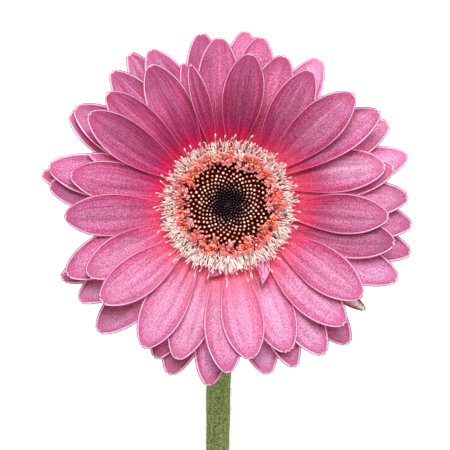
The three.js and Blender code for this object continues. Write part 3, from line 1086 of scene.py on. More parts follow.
def blade_relief(sizes, chance, width, across, down):
    """How far a blade stands above its plane at each point, and its two creases, 0 to 1.

    It is a shallow gutter with a long fold on each side of its midline and a waving margin.
    """
    fold_place = chance.uniform(0.30, 0.42)
    drift = chance.uniform(-0.06, 0.06)
    depth = sizes.fold_depth / MM * chance.uniform(0.6, 1.25)
    depth = depth * np.sin(np.pi * np.clip(down * 1.05, 0, 1)) ** 0.5
    midline = drift + 0.05 * np.sin(down * 5.0 + fold_place * 40)
    lines = [bell(across, midline + way * fold_place * (1 - 0.25 * down), 0.075) for way in (-1, 1)]
    crease = lines[0] * chance.uniform(0.5, 1.0) + lines[1] * chance.uniform(0.5, 1.0)
    crease = crease * smooth_step(down, 0.02, 0.2) * (1 - smooth_step(down, 0.72, 0.95))
    soft_folds = bell(across, midline + fold_place, 0.2) + bell(across, midline - fold_place, 0.2)
    folds = 0.45 * crease + 0.6 * soft_folds - 0.35 * bell(across, midline, 0.16)
    phase = chance.uniform(0, 2 * math.pi, 4)
    sway = np.sin(down * 7.0 + phase[0]) * across + 0.6 * np.sin(down * 15.0 + phase[1]) * np.abs(across)
    ripple = 0.3 * np.sin(down * 24.0 + phase[2]) * across**3
    gutter = width * (0.16 - 0.06 * down) * across**2
    rise = gutter - depth * folds + sizes.wave / MM * (sway + ripple) * across**2
    rise = rise + chance.uniform(0.1, 0.45) * smooth_step(np.abs(across), 0.78, 1.0)
    return rise + 0.3 * np.sin(down * 4.5 + phase[3]) * down, crease


def make_blade(plan, sizes, chance, small):
    """A ray floret's skin: blunt, notched and drawn up to the front row, or pointed when small."""
    across, down = blade_grid()
    v = down[:, 0]
    points, along, side, upper = spine(plan, v, sizes.droop / MM)
    half = np.maximum(0.75, plan.half_width * outline(v))
    if small:
        half = np.maximum(0.12, plan.half_width * np.interp(v, (0.0, 0.35, 0.6, 1.0), (0.5, 0.85, 1.0, 0.0)))
    width = half[:, None]
    rise, crease = blade_relief(sizes, chance, width, across, down)
    run = plan.reach - plan.base_radius
    notches = np.cos(np.pi * 3 * np.clip(across, -1, 1)) * -0.5 - 0.5
    teeth = sizes.tooth / MM * chance.uniform(0.3, 1.5) * notches
    reach = ((1 - BLUNT) * run * (1 - across**2) + teeth) * smooth_step(down, 0.9, BLUNT)
    skin = (
        points[:, None]
        + side[:, None] * (width * across)[:, :, None]
        + upper[:, None] * rise[:, :, None]
        + along[:, None] * reach[:, :, None]
    )
    if not small:
        skin = gather(skin, sizes.closing)
    edge = np.minimum((1 - np.abs(across)) * width, (BLUNT - down) * run + 0.02)
    thickness = sizes.thickness / MM * (1 - 0.55 * np.abs(across) ** 3)
    return Blade(clear_of_floor(skin), upper, thickness, across, down, np.maximum(edge, 0.0), crease)


def clear_of_floor(skin, clearance=0.45, softness=0.8, far=3.0):
    """Eases a skin up where it would come nearer to the surface than clearance, mm."""
    height = in_world(skin)[..., 2] / MM - clearance
    lift = (np.hypot(height, softness) - height) / 2
    lift = np.where(height > far, 0.0, lift - 0.05)
    return skin + np.maximum(lift, 0.0)[..., None] * (np.array(TO_HEAD.to_3x3().normalized()) @ UP)


def leaf(blade):
    """A closed thin leaf round a blade's skin, and which points of the skin have an underside."""
    half_skin = blade.upper[:, None] * (blade.thickness / 2)[:, :, None]
    inner = np.zeros(blade.across.shape, dtype=bool)
    inner[1:-1, 1:-1] = True
    top = np.where(inner[:, :, None], blade.skin + half_skin, blade.skin)
    bottom = (blade.skin - half_skin)[inner]
    points = np.concatenate([top.reshape(-1, 3), bottom])
    top_index = np.arange(inner.size).reshape(inner.shape)
    bottom_index = top_index.copy()
    bottom_index[inner] = inner.size + np.arange(len(bottom))
    faces = []
    for row in range(ROWS):
        for column in range(COLUMNS):
            corners = ((row, column), (row + 1, column), (row + 1, column + 1), (row, column + 1))
            faces.append([int(top_index[corner]) for corner in corners])
            faces.append([int(bottom_index[corner]) for corner in reversed(corners)])
    return points, faces, inner


def head_marks(plan, sizes, points, painted_tint):
    """What a ray floret's colour takes from its place on the head, at each point.

    The blades get painted shade at the top of the head, and painted sheen towards its bottom and
    right, more in the rear rows and with the painted tint; their flush reaches farthest out at the
    right. A row whose tips lie 10 mm below the front row's counts as the rearmost.
    """
    turn = np.degrees(np.arctan2(points[:, 1], points[:, 0]))
    radius = np.hypot(points[:, 0], points[:, 1])
    depth = np.clip((np.polyval(FRONT.height, 1.0) - np.polyval(plan.height, 1.0)) / 10.0, 0.0, 1.0)
    low = smooth_step((0.1 * points[:, 0] - points[:, 1]) / radius, -0.75, 0.6)
    # Painted shade: darker at the top of the head; the bands below are painted lighter.
    dim = 0.8 + 0.22 * smooth_step(low, 0.0, 0.08)
    for gain, azimuth, width in ((0.06, 55.0, 16.0), (0.1, 160.0, 26.0), (0.12, -32.0, 14.0)):
        dim = dim + gain * bell(turn, azimuth, width)
    # Painted light: rear rows at the upper right are made paler.
    rear = (0.3 + 0.6 * depth) * depth * bell(turn, 45.0, 22.0)
    light = np.maximum(low + 0.6 * bell(turn, 35.0, 32.0), rear)
    bloom = sizes.bloom * (0.05 + (0.9 + 0.9 * depth) * light) * painted_tint**2 + 0.6 * max(painted_tint - 1.0, 0.0)
    return {"dim": dim * painted_tint, "bloom": bloom, "flushed": 3.4 * bell(turn, 8.0, 28.0)}


def make_floret(name, plan, sizes, seed, material, dry=0.0, small=False, painted_tint=1.0):
    """One ray floret as a closed thin leaf with a sharp margin."""
    chance = np.random.default_rng(seed)
    blade = make_blade(plan, sizes, chance, small)
    points, faces, inner = leaf(blade)

    def both(values):
        """Values of the skin's points for the upper face, and then for the underside."""
        return np.concatenate([values.ravel(), values[inner]])

    # A tiny floret is coloured as if it lay farther out, so it has no crimson base and no deep tip.
    shift = 8.0 if small else 0.0
    attributes = {
        "head_radius": np.hypot(points[:, 0], points[:, 1]) + shift,
        "edge": both(blade.edge),
        "crease": both(blade.crease),
        "end": (1 - both(blade.down)) * (plan.reach - plan.base_radius) + shift,
        "underside": np.repeat([0.0, 1.0], [inner.size, inner.sum()]),
        "tone": np.full(len(points), chance.random()),
        "dry": dry * smooth_step(both(blade.down), 0.55, 0.85),
        **head_marks(plan, sizes, points, painted_tint),
    }
    uv = np.stack([both(blade.across) / 2 + 0.5, both(blade.down)], axis=1)
    thing = mesh_object(name, points, faces, material, attributes, uv)
    sharpen_rim(thing.data, np.flatnonzero(~inner))
    lift_off_floor(thing.data)
    return thing


def sharpen_rim(mesh, rim):
    """Keeps the upper face's shading apart from the underside's along the rim's points."""
    ends = np.empty(len(mesh.edges) * 2, dtype=np.int32)
    mesh.edges.foreach_get("vertices", ends)
    on_rim = np.isin(ends.reshape(-1, 2), rim).all(axis=1)
    mesh.attributes.new("sharp_edge", "BOOLEAN", "EDGE").data.foreach_set("value", on_rim)


def lift_off_floor(mesh, clearance=0.1 * MM):
    """Moves what reaches below the surface up to it."""
    points = np.empty(len(mesh.vertices) * 3)
    mesh.vertices.foreach_get("co", points)
    points = points.reshape(-1, 3)
    points[:, 2] = np.maximum(points[:, 2], clearance)
    mesh.vertices.foreach_set("co", points.ravel())
    mesh.update()


# Ray florets, by number, painted deeper (under 1) where they lie in shade and paler (over 1)
# where more light falls on them than on their neighbours.
PAINTED_TINTS = {
    3: 1.1, 6: 1.07, 7: 1.1, 8: 1.14, 10: 1.08, 11: 1.22, 12: 1.06, 13: 1.22, 14: 1.15, 23: 1.08,
    24: 0.85, 25: 0.85, 29: 0.85, 30: 0.7, 31: 0.94, 32: 0.92, 34: 1.1, 43: 1.15,
    51: 0.88, 52: 0.68, 53: 0.88, 54: 0.93,
}


class LooseFloret(NamedTuple):
    """A ray floret without a CAD solid, in degrees and in steps below the front row."""

    tip_azimuth: float
    base_azimuth: float
    reach: float
    width: float
    steps: float
    roll: float = 0.0
    base_radius: float = BASE_RADIUS
    dry: float = 0.0

    def plan(self):
        """Each step down lies 0.8 mm lower and 4 degrees flatter. One above the front row starts on it."""
        angles = BASE_ANGLE - 4 * self.steps, TIP_ANGLE - 4 * self.steps
        height = arch(self.reach - self.base_radius, *angles, 0.8 * self.steps)
        if self.steps < 0:
            height = (*height[:2], 2.5)
        *azimuths, roll = (math.radians(angle) for angle in (self.base_azimuth, self.tip_azimuth, self.roll))
        return FloretPlan(self.base_radius, self.reach, *azimuths, self.width / 2, height, roll)


LOOSE_FLORETS = (
    LooseFloret(204.0, 203.0, 54.0, 10.4, 6.0),
    LooseFloret(244.7, 244.0, 50.2, 11.0, 4.1),
    LooseFloret(322.7, 321.0, 50.8, 6.4, 2.4, roll=-22.0, dry=1.0),
    LooseFloret(292.2, 309.0, 25.9, 4.5, -0.9, roll=15.0, base_radius=15.0),
    LooseFloret(252.6, 270.0, 22.3, 3.0, -1.2, base_radius=16.5),
)
# A ray floret that reaches less far than this is one of the tiny ones.
TINY_REACH = 30.0


class GERBERA_OT_petals(Operator):
    """Makes every ray floret, most of them each round its own CAD solid"""

    bl_idname = "gerbera.petals"
    bl_label = "Ray florets"

    def execute(self, context):
        sizes = context.scene.gerbera_petals
        material = petal_material(sizes)
        nodes = sorted(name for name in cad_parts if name.startswith("ray_floret_"))
        for seed, node in enumerate(nodes):
            plan, painted_tint = measure_floret(node), PAINTED_TINTS.get(seed + 1, 1.0)
            floret = make_floret(f"petal_{node[-2:]}", plan, sizes, seed, material, painted_tint=painted_tint)
            declare(floret, "petal", node)
        for index, loose in enumerate(LOOSE_FLORETS):
            name, small = f"petal_loose_{index + 1}", loose.reach < TINY_REACH
            floret = make_floret(name, loose.plan(), sizes, 100 + index, material, loose.dry, small)
            declare(floret, "petal")
        return {"FINISHED"}


class GERBERA_OT_disc(Operator):
    """Makes the dark bed of the disc and the spiral of buds that stands on it"""

    bl_idname = "gerbera.disc"
    bl_label = "Disc florets"

    # Height of the buds' tips above the head's origin, by radius.
    tips = ((0.0, 3.5), (3.4, 4.0), (6.6, 5.1), (9.6, 5.5), (11.4, 5.0), (12.6, 4.2))
    # A bud from its foot to its tip, as radius and height, and the top of one that is splitting open.
    flanks = ((0.30, 0.0), (0.50, 0.8), (0.53, 1.5), (0.40, 2.0))
    closed_top = ((0.37, 2.06), (0.34, 2.34), (0.2, 2.56), (0.02, 2.62))
    split_top = ((0.42, 2.1), (0.40, 2.3), (0.24, 2.42), (0.12, 2.3))
    # The greatest radius of the spiral, and the number of buds in the ring round it.
    spiral_radius = 12.0
    ring_buds = 46

    def execute(self, context):
        declare(self.make_bed(), "disc")
        declare(self.make_buds(context.scene.gerbera_centre), "disc", "disc_florets")
        return {"FINISHED"}

    def tip_height(self, radius):
        """The height of the buds' tips at a radius."""
        return float(np.interp(radius, *zip(*self.tips)))

    def make_bed(self):
        """The bed, from the floor of the disc up to a little below the buds' tips."""
        profile = [(0.01, DISC_FLOOR), (12.6, DISC_FLOOR), (12.8, 1.2), (12.2, 2.0)]
        profile += [(radius, self.tip_height(radius) - 1.9) for radius in np.linspace(11.4, 0.3, 18)]
        points, faces, _, _ = turned(profile, 64)
        radius = np.hypot(points[:, 0], points[:, 1])
        return mesh_object("disc_bed", points, faces, bed_material(), {"head_radius": radius})

    def make_buds(self, sizes):
        """The spiral of buds, and a ring of half-hidden ones round it."""
        plump = self.flanks + self.closed_top
        narrow = [(radius * 0.86, height * 1.04) for radius, height in plump]
        profiles = plump, narrow, self.flanks + self.split_top
        pieces = [small_piece(f"bud_{index}", [turned(profile, 8)]) for index, profile in enumerate(profiles)]
        chance = np.random.default_rng(11)
        places = [self.spiral_place(sizes, chance, index) for index in range(sizes.buds)]
        for index in range(self.ring_buds):
            azimuth = spread_azimuth(index, self.ring_buds, chance, 0.3)
            foot, axes = standing(12.1 + chance.uniform(-0.2, 0.3), azimuth, 2.2, 0.25, chance.uniform(0, 6))
            places.append(Place(foot, axes, (1.1, 1.1, 1.15), 1, 1.0, 0.12 * chance.random()))
        return scatter("disc_buds", pieces, places, bud_material(sizes), 3, 0.05, 0.05)

    def spiral_place(self, sizes, chance, index):
        """A place in the spiral. The buds grow and ripen outwards, and a few inner ones are riper."""
        radius = self.spiral_radius * ((index + 0.5) / sizes.buds) ** 0.66
        azimuth = index * GOLDEN_TURN + chance.normal(0, 0.004)
        slope = self.tip_height(radius + 0.5) - self.tip_height(radius - 0.5)
        size = 0.46 + 0.42 * float(smooth_step(radius, 1.5, 9.5))
        size *= chance.uniform(0.92, 1.06)
        ripe = float(smooth_step(radius + chance.normal(0, 0.5), 3.0, 7.8)) ** 1.5
        ripe = max(ripe, 0.10 * chance.random() ** 2)
        tone = chance.random() * 0.5 + 0.6 * float(smooth_step(radius, 10.2, 11.8))
        height = self.tip_height(radius) - 2.6 * size
        foot, axes = standing(radius, azimuth, height, -0.7 * math.atan(slope), chance.uniform(0, 6))
        return Place(foot, axes, (size, size, size), int(chance.integers(0, 3)), tone, ripe)


class GERBERA_OT_trans_florets(Operator):
    """Makes the ring of short coral florets with curled pink lips"""

    bl_idname = "gerbera.trans_florets"
    bl_label = "Trans florets"

    # The tube up to its mouth and down inside it, as radius and share of its height, and that height.
    tube_outside = ((0.3, 0.0), (0.38, 0.3), (0.46, 0.62), (0.62, 0.9), (0.7, 1.0))
    tube_inside = ((0.58, 0.98), (0.4, 0.85), (0.1, 0.7))
    tube_top = 4.4
    # The anthers and the style's tip above them, as radius and height.
    anthers = ((0.16, 3.6), (0.22, 4.4), (0.24, 5.1), (0.17, 5.5), (0.09, 5.6), (0.1, 5.9), (0.02, 6.0))
    # How its parts are coloured.
    tube_kind, lip_kind, anther_kind, loop_kind = 0.0, 1.0, 2.0, 3.0

    def execute(self, context):
        sizes = context.scene.gerbera_centre
        pieces = [self.open_floret(1.0, 0), self.open_floret(0.62, 1), self.rolled_floret(2)]
        chance = np.random.default_rng(23)
        # Each ring's florets, radius, height, lean and scale, and how often it has each piece.
        rings = (
            (sizes.trans_inner, 12.8, 0.9, -0.02, 0.95, (0.15, 0.2, 0.65)),
            (sizes.trans_outer, 13.9, 1.1, 0.04, 1.0, (0.55, 0.35, 0.1)),
        )
        places = []
        for count, radius, height, lean, scale, odds in rings:
            for index in range(count):
                azimuth = spread_azimuth(index, count, chance, 0.32)
                off, tilt, spin = (chance.uniform(-most, most) for most in (0.4, 0.22, 0.5))
                foot, axes = standing(radius + off, azimuth, height, lean + tilt, spin)
                tall = scale * chance.uniform(0.88, 1.12)
                size = (1.1 * tall, 1.1 * tall, tall)
                places.append(Place(foot, axes, size, int(chance.choice(3, p=odds)), chance.random(), 0.0))
        ring = scatter("trans_floret_ring", pieces, places, trans_material(sizes), 5, 0.1, 0.08)
        declare(ring, "trans_floret", "trans_florets")
        return {"FINISHED"}

    def tube(self):
        """The open tube that a trans floret stands on."""
        profile = self.tube_outside + self.tube_inside
        return turned([(radius, share * self.tube_top) for radius, share in profile], 10)

    def open_floret(self, spread, index):
        """A floret whose three outer lobes bend out, whose inner lips hook in, and whose anthers show."""
        tubes, kinds = [self.tube()], [self.tube_kind]
        for way in (-1, 0, 1):
            droop = 0.3 * abs(way)
            stops = [
                (0.22 * way, 0.35, 4.1),
                (0.36 * way, 0.7 + 0.15 * spread, 4.9 - droop / 2),
                (0.62 * way, 0.9 + 0.6 * spread, 5.2 - droop),
                (0.8 * way, 0.85 + 0.95 * spread, 4.8 - droop),
                (0.84 * way, 0.6 + 0.9 * spread, 4.4),
            ]
            widths, depths = (0.2, 0.3, 0.33, 0.28, 0.2, 0.08), (0.1, 0.11, 0.1, 0.09, 0.08, 0.05)
            tubes.append(strand(stops, widths, depths, 6, 9, (1.0, 0.25 * way, 0.0)))
            kinds.append(self.lip_kind)
        for way in (-1, 1):
            stops = [
                (0.22 * way, -0.35, 4.1),
                (0.34 * way, -0.65, 4.9),
                (0.5 * way, -1.05, 5.15),
                (0.6 * way, -1.3, 4.85),
                (0.56 * way, -1.1, 4.5),
                (0.48 * way, -0.85, 4.6),
            ]
            widths, depths = (0.18, 0.24, 0.25, 0.22, 0.16, 0.07), (0.1, 0.11, 0.1, 0.1, 0.09, 0.05)
            tubes.append(strand(stops, widths, depths, 6, 10))
            kinds.append(self.lip_kind)
        tubes.append(turned(self.anthers, 6))
        return small_piece(f"floret_{index}", tubes, *kinds, self.anther_kind)

    def rolled_floret(self, index):
        """A floret whose lips are still rolled up into two small hollow loops."""
        tubes = [self.tube()]
        for way in (-1, 1):
            turns = np.linspace(-0.4, 1.7 * math.pi, 9)
            stops = [
                (way * (0.36 + 0.3 * math.cos(turn)), -0.45 - 0.36 * math.sin(turn), 5.0 + 0.02 * turn)
                for turn in turns
            ]
            thicknesses = (0.12, 0.15, 0.15, 0.14, 0.1)
            tubes.append(strand(stops, thicknesses, thicknesses, 6, 14, UP))
        back = [(0, 0.3, 4.0), (0, 0.55, 4.8), (0, 0.6, 5.4), (0, 0.2, 5.8)]
        tubes.append(strand(back, (0.35, 0.55, 0.6, 0.25), (0.12, 0.14, 0.12, 0.08), 8, 7))
        kinds = self.tube_kind, self.loop_kind, self.loop_kind, self.lip_kind
        return small_piece(f"floret_{index}", tubes, *kinds)


class GERBERA_OT_pappus(Operator):
    """Makes the dark bed and the fringe of bristles and knobbed threads that stands on it"""

    bl_idname = "gerbera.pappus"
    bl_label = "Pappus fringe"

    # The bed's outline as radius and height, outwards below and back above.
    bed_outline = ((12.4, 1.0), (13.6, 1.2), (16.6, 3.3), (17.4, 4.0))
    bed_outline += ((17.2, 4.4), (15.8, 3.9), (14.0, 2.8), (12.4, 1.9))
    # The fringe's tufts, and how far each one's depth in the fringe steps on from the last one's.
    tufts = 270
    tuft_step = 0.7549

    def execute(self, context):
        sizes = context.scene.gerbera_centre
        declare(self.make_bed(), "pappus")
        material = bristle_material(sizes)
        declare(self.make_bristles(sizes, material), "pappus", "pappus")
        declare(self.make_threads(sizes, material), "pappus")
        return {"FINISHED"}

    def make_bed(self):
        """The hoop between the trans florets and the ray florets, turned from a closed outline."""
        profile = np.array(self.bed_outline)
        turns, count = 96, len(profile)
        angles = round_turns(turns)
        around = np.stack([np.cos(angles), np.sin(angles), np.ones(turns)], axis=1)
        points = (around[:, None] * profile[None][:, :, [0, 0, 1]]).reshape(-1, 3)
        faces = []
        for turn in range(turns):
            here, next_turn = turn * count, (turn + 1) % turns * count
            for index in range(count):
                beside = (index + 1) % count
                faces.append((here + index, next_turn + index, next_turn + beside, here + beside))
        radius = np.hypot(points[:, 0], points[:, 1])
        return mesh_object("pappus_bed", points, faces, bed_material(), {"head_radius": radius})

    def bristle(self, name, bend, knob, length=3.5, thick=0.15):
        """A bristle that ends bend mm aside, in a tip knob times as thick as its foot."""
        stops = [(0, 0, 0), (0, bend * 0.25, length * 0.4), (0, bend * 0.1, length * 0.75), (0, bend, length)]
        widths = [thick, thick, thick * 0.9, thick * 0.8, thick * 0.72, thick * knob, thick * knob * 0.6]
        return small_piece(name, [strand(stops, widths, widths, 5, 8)])

    def make_bristles(self, sizes, material):
        """The fringe. Its bristles stand in tufts and are shortest at the top of the head."""
        shapes = ((0.3, 0.7), (-0.5, 0.8), (0.8, 0.6), (0.15, 1.5))
        pieces = [self.bristle(f"bristle_{index}", bend, knob) for index, (bend, knob) in enumerate(shapes)]
        chance = np.random.default_rng(37)
        places = []
        for index in range(sizes.bristles):
            tuft = index % self.tufts
            azimuth = tuft * GOLDEN_TURN + chance.normal(0, 0.026)
            depth = (tuft * self.tuft_step) % 1.0
            depth = min(1.0, max(0.0, depth + chance.normal(0, 0.07)))
            radius = 13.0 + 4.2 * depth - 0.3 * math.sin(azimuth)
            height = 2.0 + 2.3 * depth + chance.uniform(-0.2, 0.5)
            lean = 0.66 + 0.50 * depth + chance.normal(0, 0.16)
            spin, swing = chance.uniform(0, 6.28), chance.normal(0, 0.25)
            foot, axes = standing(radius, azimuth, height, lean, spin, swing)
            length = chance.uniform(0.72, 1.2) * (1.06 - 0.15 * depth) * (1.03 - 0.2 * math.sin(azimuth))
            length *= 1.0 + 0.09 * math.sin(11 * azimuth) + 0.09 * math.sin(23 * azimuth + 1.0)
            size = (chance.uniform(0.8, 1.25),) * 2 + (length,)
            places.append(Place(foot, axes, size, int(chance.integers(0, len(pieces))), chance.random(), 0.0))
        return scatter("pappus_bristles", pieces, places, material, 7, 0.06, 0.05)

    def make_threads(self, sizes, material):
        """The long knobbed threads that lie out over the ray florets' bases."""
        bends = (0.5, -0.6)
        pieces = [self.bristle(f"thread_{index}", bend, 1.9, 5.4, 0.13) for index, bend in enumerate(bends)]
        chance = np.random.default_rng(41)
        places = []
        for index in range(sizes.styles):
            azimuth = spread_azimuth(index, sizes.styles, chance, 0.45)
            radius = 16.5 - 0.9 * math.sin(azimuth) + chance.uniform(-0.6, 0.8)
            lean = 1.22 + chance.uniform(-0.12, 0.08)
            spin, swing = chance.uniform(0, 6.28), chance.normal(0, 0.12)
            foot, axes = standing(radius, azimuth, 5.2, lean, spin, swing)
            size = (1.0, 1.0, chance.uniform(0.7, 1.2) * (1 - 0.12 * math.sin(azimuth)))
            places.append(Place(foot, axes, size, int(chance.integers(0, len(pieces))), chance.random(), 1.0))
        return scatter("pappus_threads", pieces, places, material, 9, 0.03, 0.05)


class GERBERA_OT_bracts(Operator):
    """Makes the two whorls of pointed green bracts behind the head"""

    bl_idname = "gerbera.bracts"
    bl_label = "Bracts"

    # The receptacle's cone behind the bracts, from its foot to its shoulder, as radius and height.
    foot, shoulder = np.array([3.95, -15.4]), np.array([12.0, -6.0])
    # The shapes of bract in a whorl: share of its length, share of its width, and flare of its tip.
    shapes = ((1.0, 1.0, 0.5), (0.92, 1.12, 0.9), (1.06, 0.9, 0.2))

    def execute(self, context):
        material = bract_material(context.scene.gerbera_green)
        # Name, CAD node, seed, number of bracts, distance off the cone, length and half width.
        whorls = (
            ("inner_bracts", "bracts_inner_whorl", 51, 21, 0.35, 14.0, 1.75),
            ("outer_bracts", "bracts_outer_whorl", 52, 18, 1.3, 10.8, 1.6),
        )
        for name, node, *measures in whorls:
            declare(self.make_whorl(name, material, *measures), "bract", node)
        return {"FINISHED"}

    def make_whorl(self, name, material, seed, count, clearance, reach, half_width):
        """One whorl of count bracts, spread evenly round the cone."""
        pieces = [
            self.bract(f"bract_{index}", clearance, reach * long, half_width * wide, flare)
            for index, (long, wide, flare) in enumerate(self.shapes)
        ]
        chance = np.random.default_rng(seed)
        places = []
        for index in range(count):
            azimuth = spread_azimuth(index, count, chance, 0.12)
            _, axes = standing(0.0, azimuth, 0.0, 0.0)
            size = (chance.uniform(0.97, 1.03),) * 3
            variant = int(chance.integers(0, len(pieces)))
            places.append(Place((0.0, 0.0, 0.0), axes, size, variant, chance.random(), 0.0))
        return scatter(name, pieces, places, material, seed, 0.01, 0.01)

    def bract(self, name, clearance, reach, half_width, flare):
        """A pointed bract that lies on the cone of the receptacle at local +Y."""
        rows, count = 14, 10
        share = np.linspace(0, 1, rows)
        rise = unit(self.shoulder - self.foot)
        facing = np.array([rise[1], -rise[0]])
        distance = share * reach - 0.6
        off = clearance + 0.4 + flare * smooth_step(share, 0.55, 1.0) + 0.5 * share * (1 - share)
        line = self.foot + rise * distance[:, None] + facing * off[:, None]
        half = half_width * np.sin(math.pi * np.clip(share * 0.86 + 0.14, 0, 1)) ** 0.8
        half = half * (1 - 0.25 * share) + 0.05
        thick = 0.36 * (1 - share**3) + 0.05
        across, over = np.cos(round_turns(count)), np.sin(round_turns(count))
        angle = half[:, None] * across / np.maximum(line[:, :1], 3.0)
        out = line[:, :1] + facing[0] * thick[:, None] * over
        high = line[:, 1:] + facing[1] * thick[:, None] * over
        rings = np.stack([-out * np.sin(angle), out * np.cos(angle), high], axis=2)
        return small_piece(name, [closed_tube(rings, rings[0].mean(axis=0), rings[-1].mean(axis=0))])


class GERBERA_OT_stem(Operator):
    """Makes the ribbed stem that swells into the receptacle, and the down on it"""

    bl_idname = "gerbera.stem"
    bl_label = "Stem"

    # The neck under the receptacle, as height and radius, and the height up to which the CAD's is kept.
    neck = ((-17.0, 3.4), (-15.6, 3.7))
    neck_start = -17.5
    # The receptacle as radius and height, from the neck up and then in under the florets.
    swell = ((3.95, -14.9), (4.9, -14.1), (7.0, -11.8), (9.4, -9.0), (11.4, -6.6), (12.2, -5.4))
    swell += ((12.45, -4.4), (12.5, -1.0), (12.45, 0.1), (11.9, 0.55), (6.0, 0.6), (0.5, 0.6))
    # The cut end from its rim into its hollow: share of the rim's radius, and how far it stands out.
    cut_end = ((0.97, 0.10), (0.90, 0.16), (0.72, -0.05), (0.5, 0.0), (0.34, 0.12), (0.29, -1.2), (0.2, -2.6))

    def execute(self, context):
        sizes = context.scene.gerbera_green
        skin = self.make_skin(sizes)
        hairs = self.make_hairs(sizes, skin)
        declare(skin, "stem", "stem")
        declare(hairs, "stem")
        return {"FINISHED"}

    def route(self):
        """The stem's midline in head millimetres, its radii, and the tilt of its cut end."""
        solid = welded("stem")
        cut = min(solid.faces, key=lambda face: face.calc_center_median().y)
        flat = [face for face in solid.faces if face.normal.dot(cut.normal) > 0.999]
        end = cut.calc_center_median().y
        near = [face for face in flat if abs(face.calc_center_median().y - end) < 10 * MM]
        ring = {vert for face in near for vert in face.verts}
        seen = set(ring)
        centres, radii = [], []
        sides = len(ring)
        while len(ring) == sides:
            places = np.array([TO_HEAD @ vert.co for vert in ring])
            centres.append(places.mean(axis=0))
            radii.append(np.linalg.norm(places - centres[-1], axis=1).min())
            ring = neighbours(ring, seen)
            seen |= ring
        tilt = TO_HEAD.to_3x3() @ cut.normal
        solid.free()
        return np.array(centres), np.array(radii), np.array(tilt.normalized())

    def midline(self):
        """The midline from the cut end to the top of the receptacle, with its radii and headings."""
        stops, radii, tilt = self.route()
        keep = stops[:, 2] < self.neck_start
        stops = np.concatenate([stops[keep], [(0, 0, height) for height, _ in self.neck]])
        radii = np.concatenate([radii[keep], [radius for _, radius in self.neck]])
        steps = 9 * len(stops)
        radii = np.interp(np.linspace(0, 1, steps), np.linspace(0, 1, len(radii)), radii)
        swell = curve_through(self.swell, 60)
        radii = np.concatenate([radii, swell[:, 0]])
        centres = np.concatenate([curve_through(stops, steps), swell[:, 1:] * UP])
        along = np.gradient(centres, axis=0)
        along[steps:] = UP
        return centres, radii, unit(along), tilt

    def ribbed_rings(self, sizes, centres, radii, along, run):
        """Rings of points round the midline, ribbed and a little uneven, and each point's groove, 0 to 1."""
        turns = round_turns(sizes.ribs * 4)
        sides, uppers = square_to(along, (1.0, 0.0, 0.0))
        rings = oval_rings(centres, sides, uppers, radii, radii, len(turns))
        groove = 0.5 - 0.5 * np.cos(turns * sizes.ribs)[None] * np.ones(len(centres))[:, None]
        fade = (1 - smooth_step(radii, 3.9, 6.5))[:, None]
        run = run[:, None]
        wander = 0.10 * np.sin(run * 0.09 + 2 * turns) + 0.07 * np.sin(run * 0.31 + 3 * turns + 1)
        shift = (-0.07 * groove + wander) * fade
        outward = rings - centres[:, None]
        outward /= np.maximum(np.linalg.norm(outward, axis=2)[:, :, None], 1e-6)
        return rings + outward * shift[:, :, None], groove * fade

    def make_skin(self, sizes):
        """The stem and receptacle in one skin, from the pit of the cut end up to the florets."""
        centres, radii, along, tilt = self.midline()
        run = np.concatenate([[0.0], np.cumsum(np.linalg.norm(np.diff(centres, axis=0), axis=1))])
        rings, groove = self.ribbed_rings(sizes, centres, radii, along, run)
        # The cut end slants: the first rings slide along the stem on to a plane.
        reach = ((rings[0] - centres[0]) @ tilt) / (along[0] @ tilt)
        ease = (1 - smooth_step(run, 0.0, 9.0))[:, None]
        rings = rings - along[0] * (reach[None] * ease)[:, :, None]
        rim, middle = rings[0], rings[0].mean(axis=0)
        inwards = reversed(self.cut_end)
        end = np.array([middle + (rim - middle) * scale + tilt * depth for scale, depth in inwards])
        whole = np.concatenate([end, rings])
        points, faces, _, _ = closed_tube(whole, end[0].mean(axis=0), 0.6 * UP)
        count = len(rim)
        cut = np.repeat([1.0, 0.5, 0.0], [(len(end) - 1) * count, count, len(rings) * count])
        grooves = np.concatenate([np.zeros(len(end) * count), groove.ravel()])
        marks = {"cut": np.append(cut, [1.0, 0.0]), "groove": np.append(grooves, [0.0, 0.0])}
        lengths = np.concatenate([np.zeros(len(end)), run / 40.0])
        around = np.append(np.tile(round_turns(count) / (2 * math.pi), len(whole)), [0.5, 0.5])
        uv = np.stack([around, np.append(np.repeat(lengths, count), [0.0, lengths[-1]])], axis=1)
        thing = mesh_object("stem_skin", points, faces, stem_material(sizes), marks, uv)
        lift_off_floor(thing.data)
        return thing

    def make_hairs(self, sizes, skin):
        """Down that stands scattered on a copy of the skin."""
        long = sizes.hair_length / MM
        stops = [(0, 0, -0.05), (0, 0.05 * long, 0.5 * long), (0, 0.25 * long, long)]
        widths = (0.035, 0.03, 0.008)
        piece = small_piece("hair", [strand(stops, widths, widths, 3, 4)])
        thing = place_object("stem_hairs", skin.data.copy())
        area = sum(face.area for face in thing.data.polygons)
        values = {
            "Piece": piece,
            "Density": sizes.hairs / area,
            "Lean": 0.5,
            "Size": 1.0,
            "Seed": 13,
            "Material": hair_material(),
        }
        run_nodes(thing, fur_tree(), values)
        bpy.data.meshes.remove(piece.data)
        lift_off_floor(thing.data, 0.02 * MM)
        return thing


# The stage


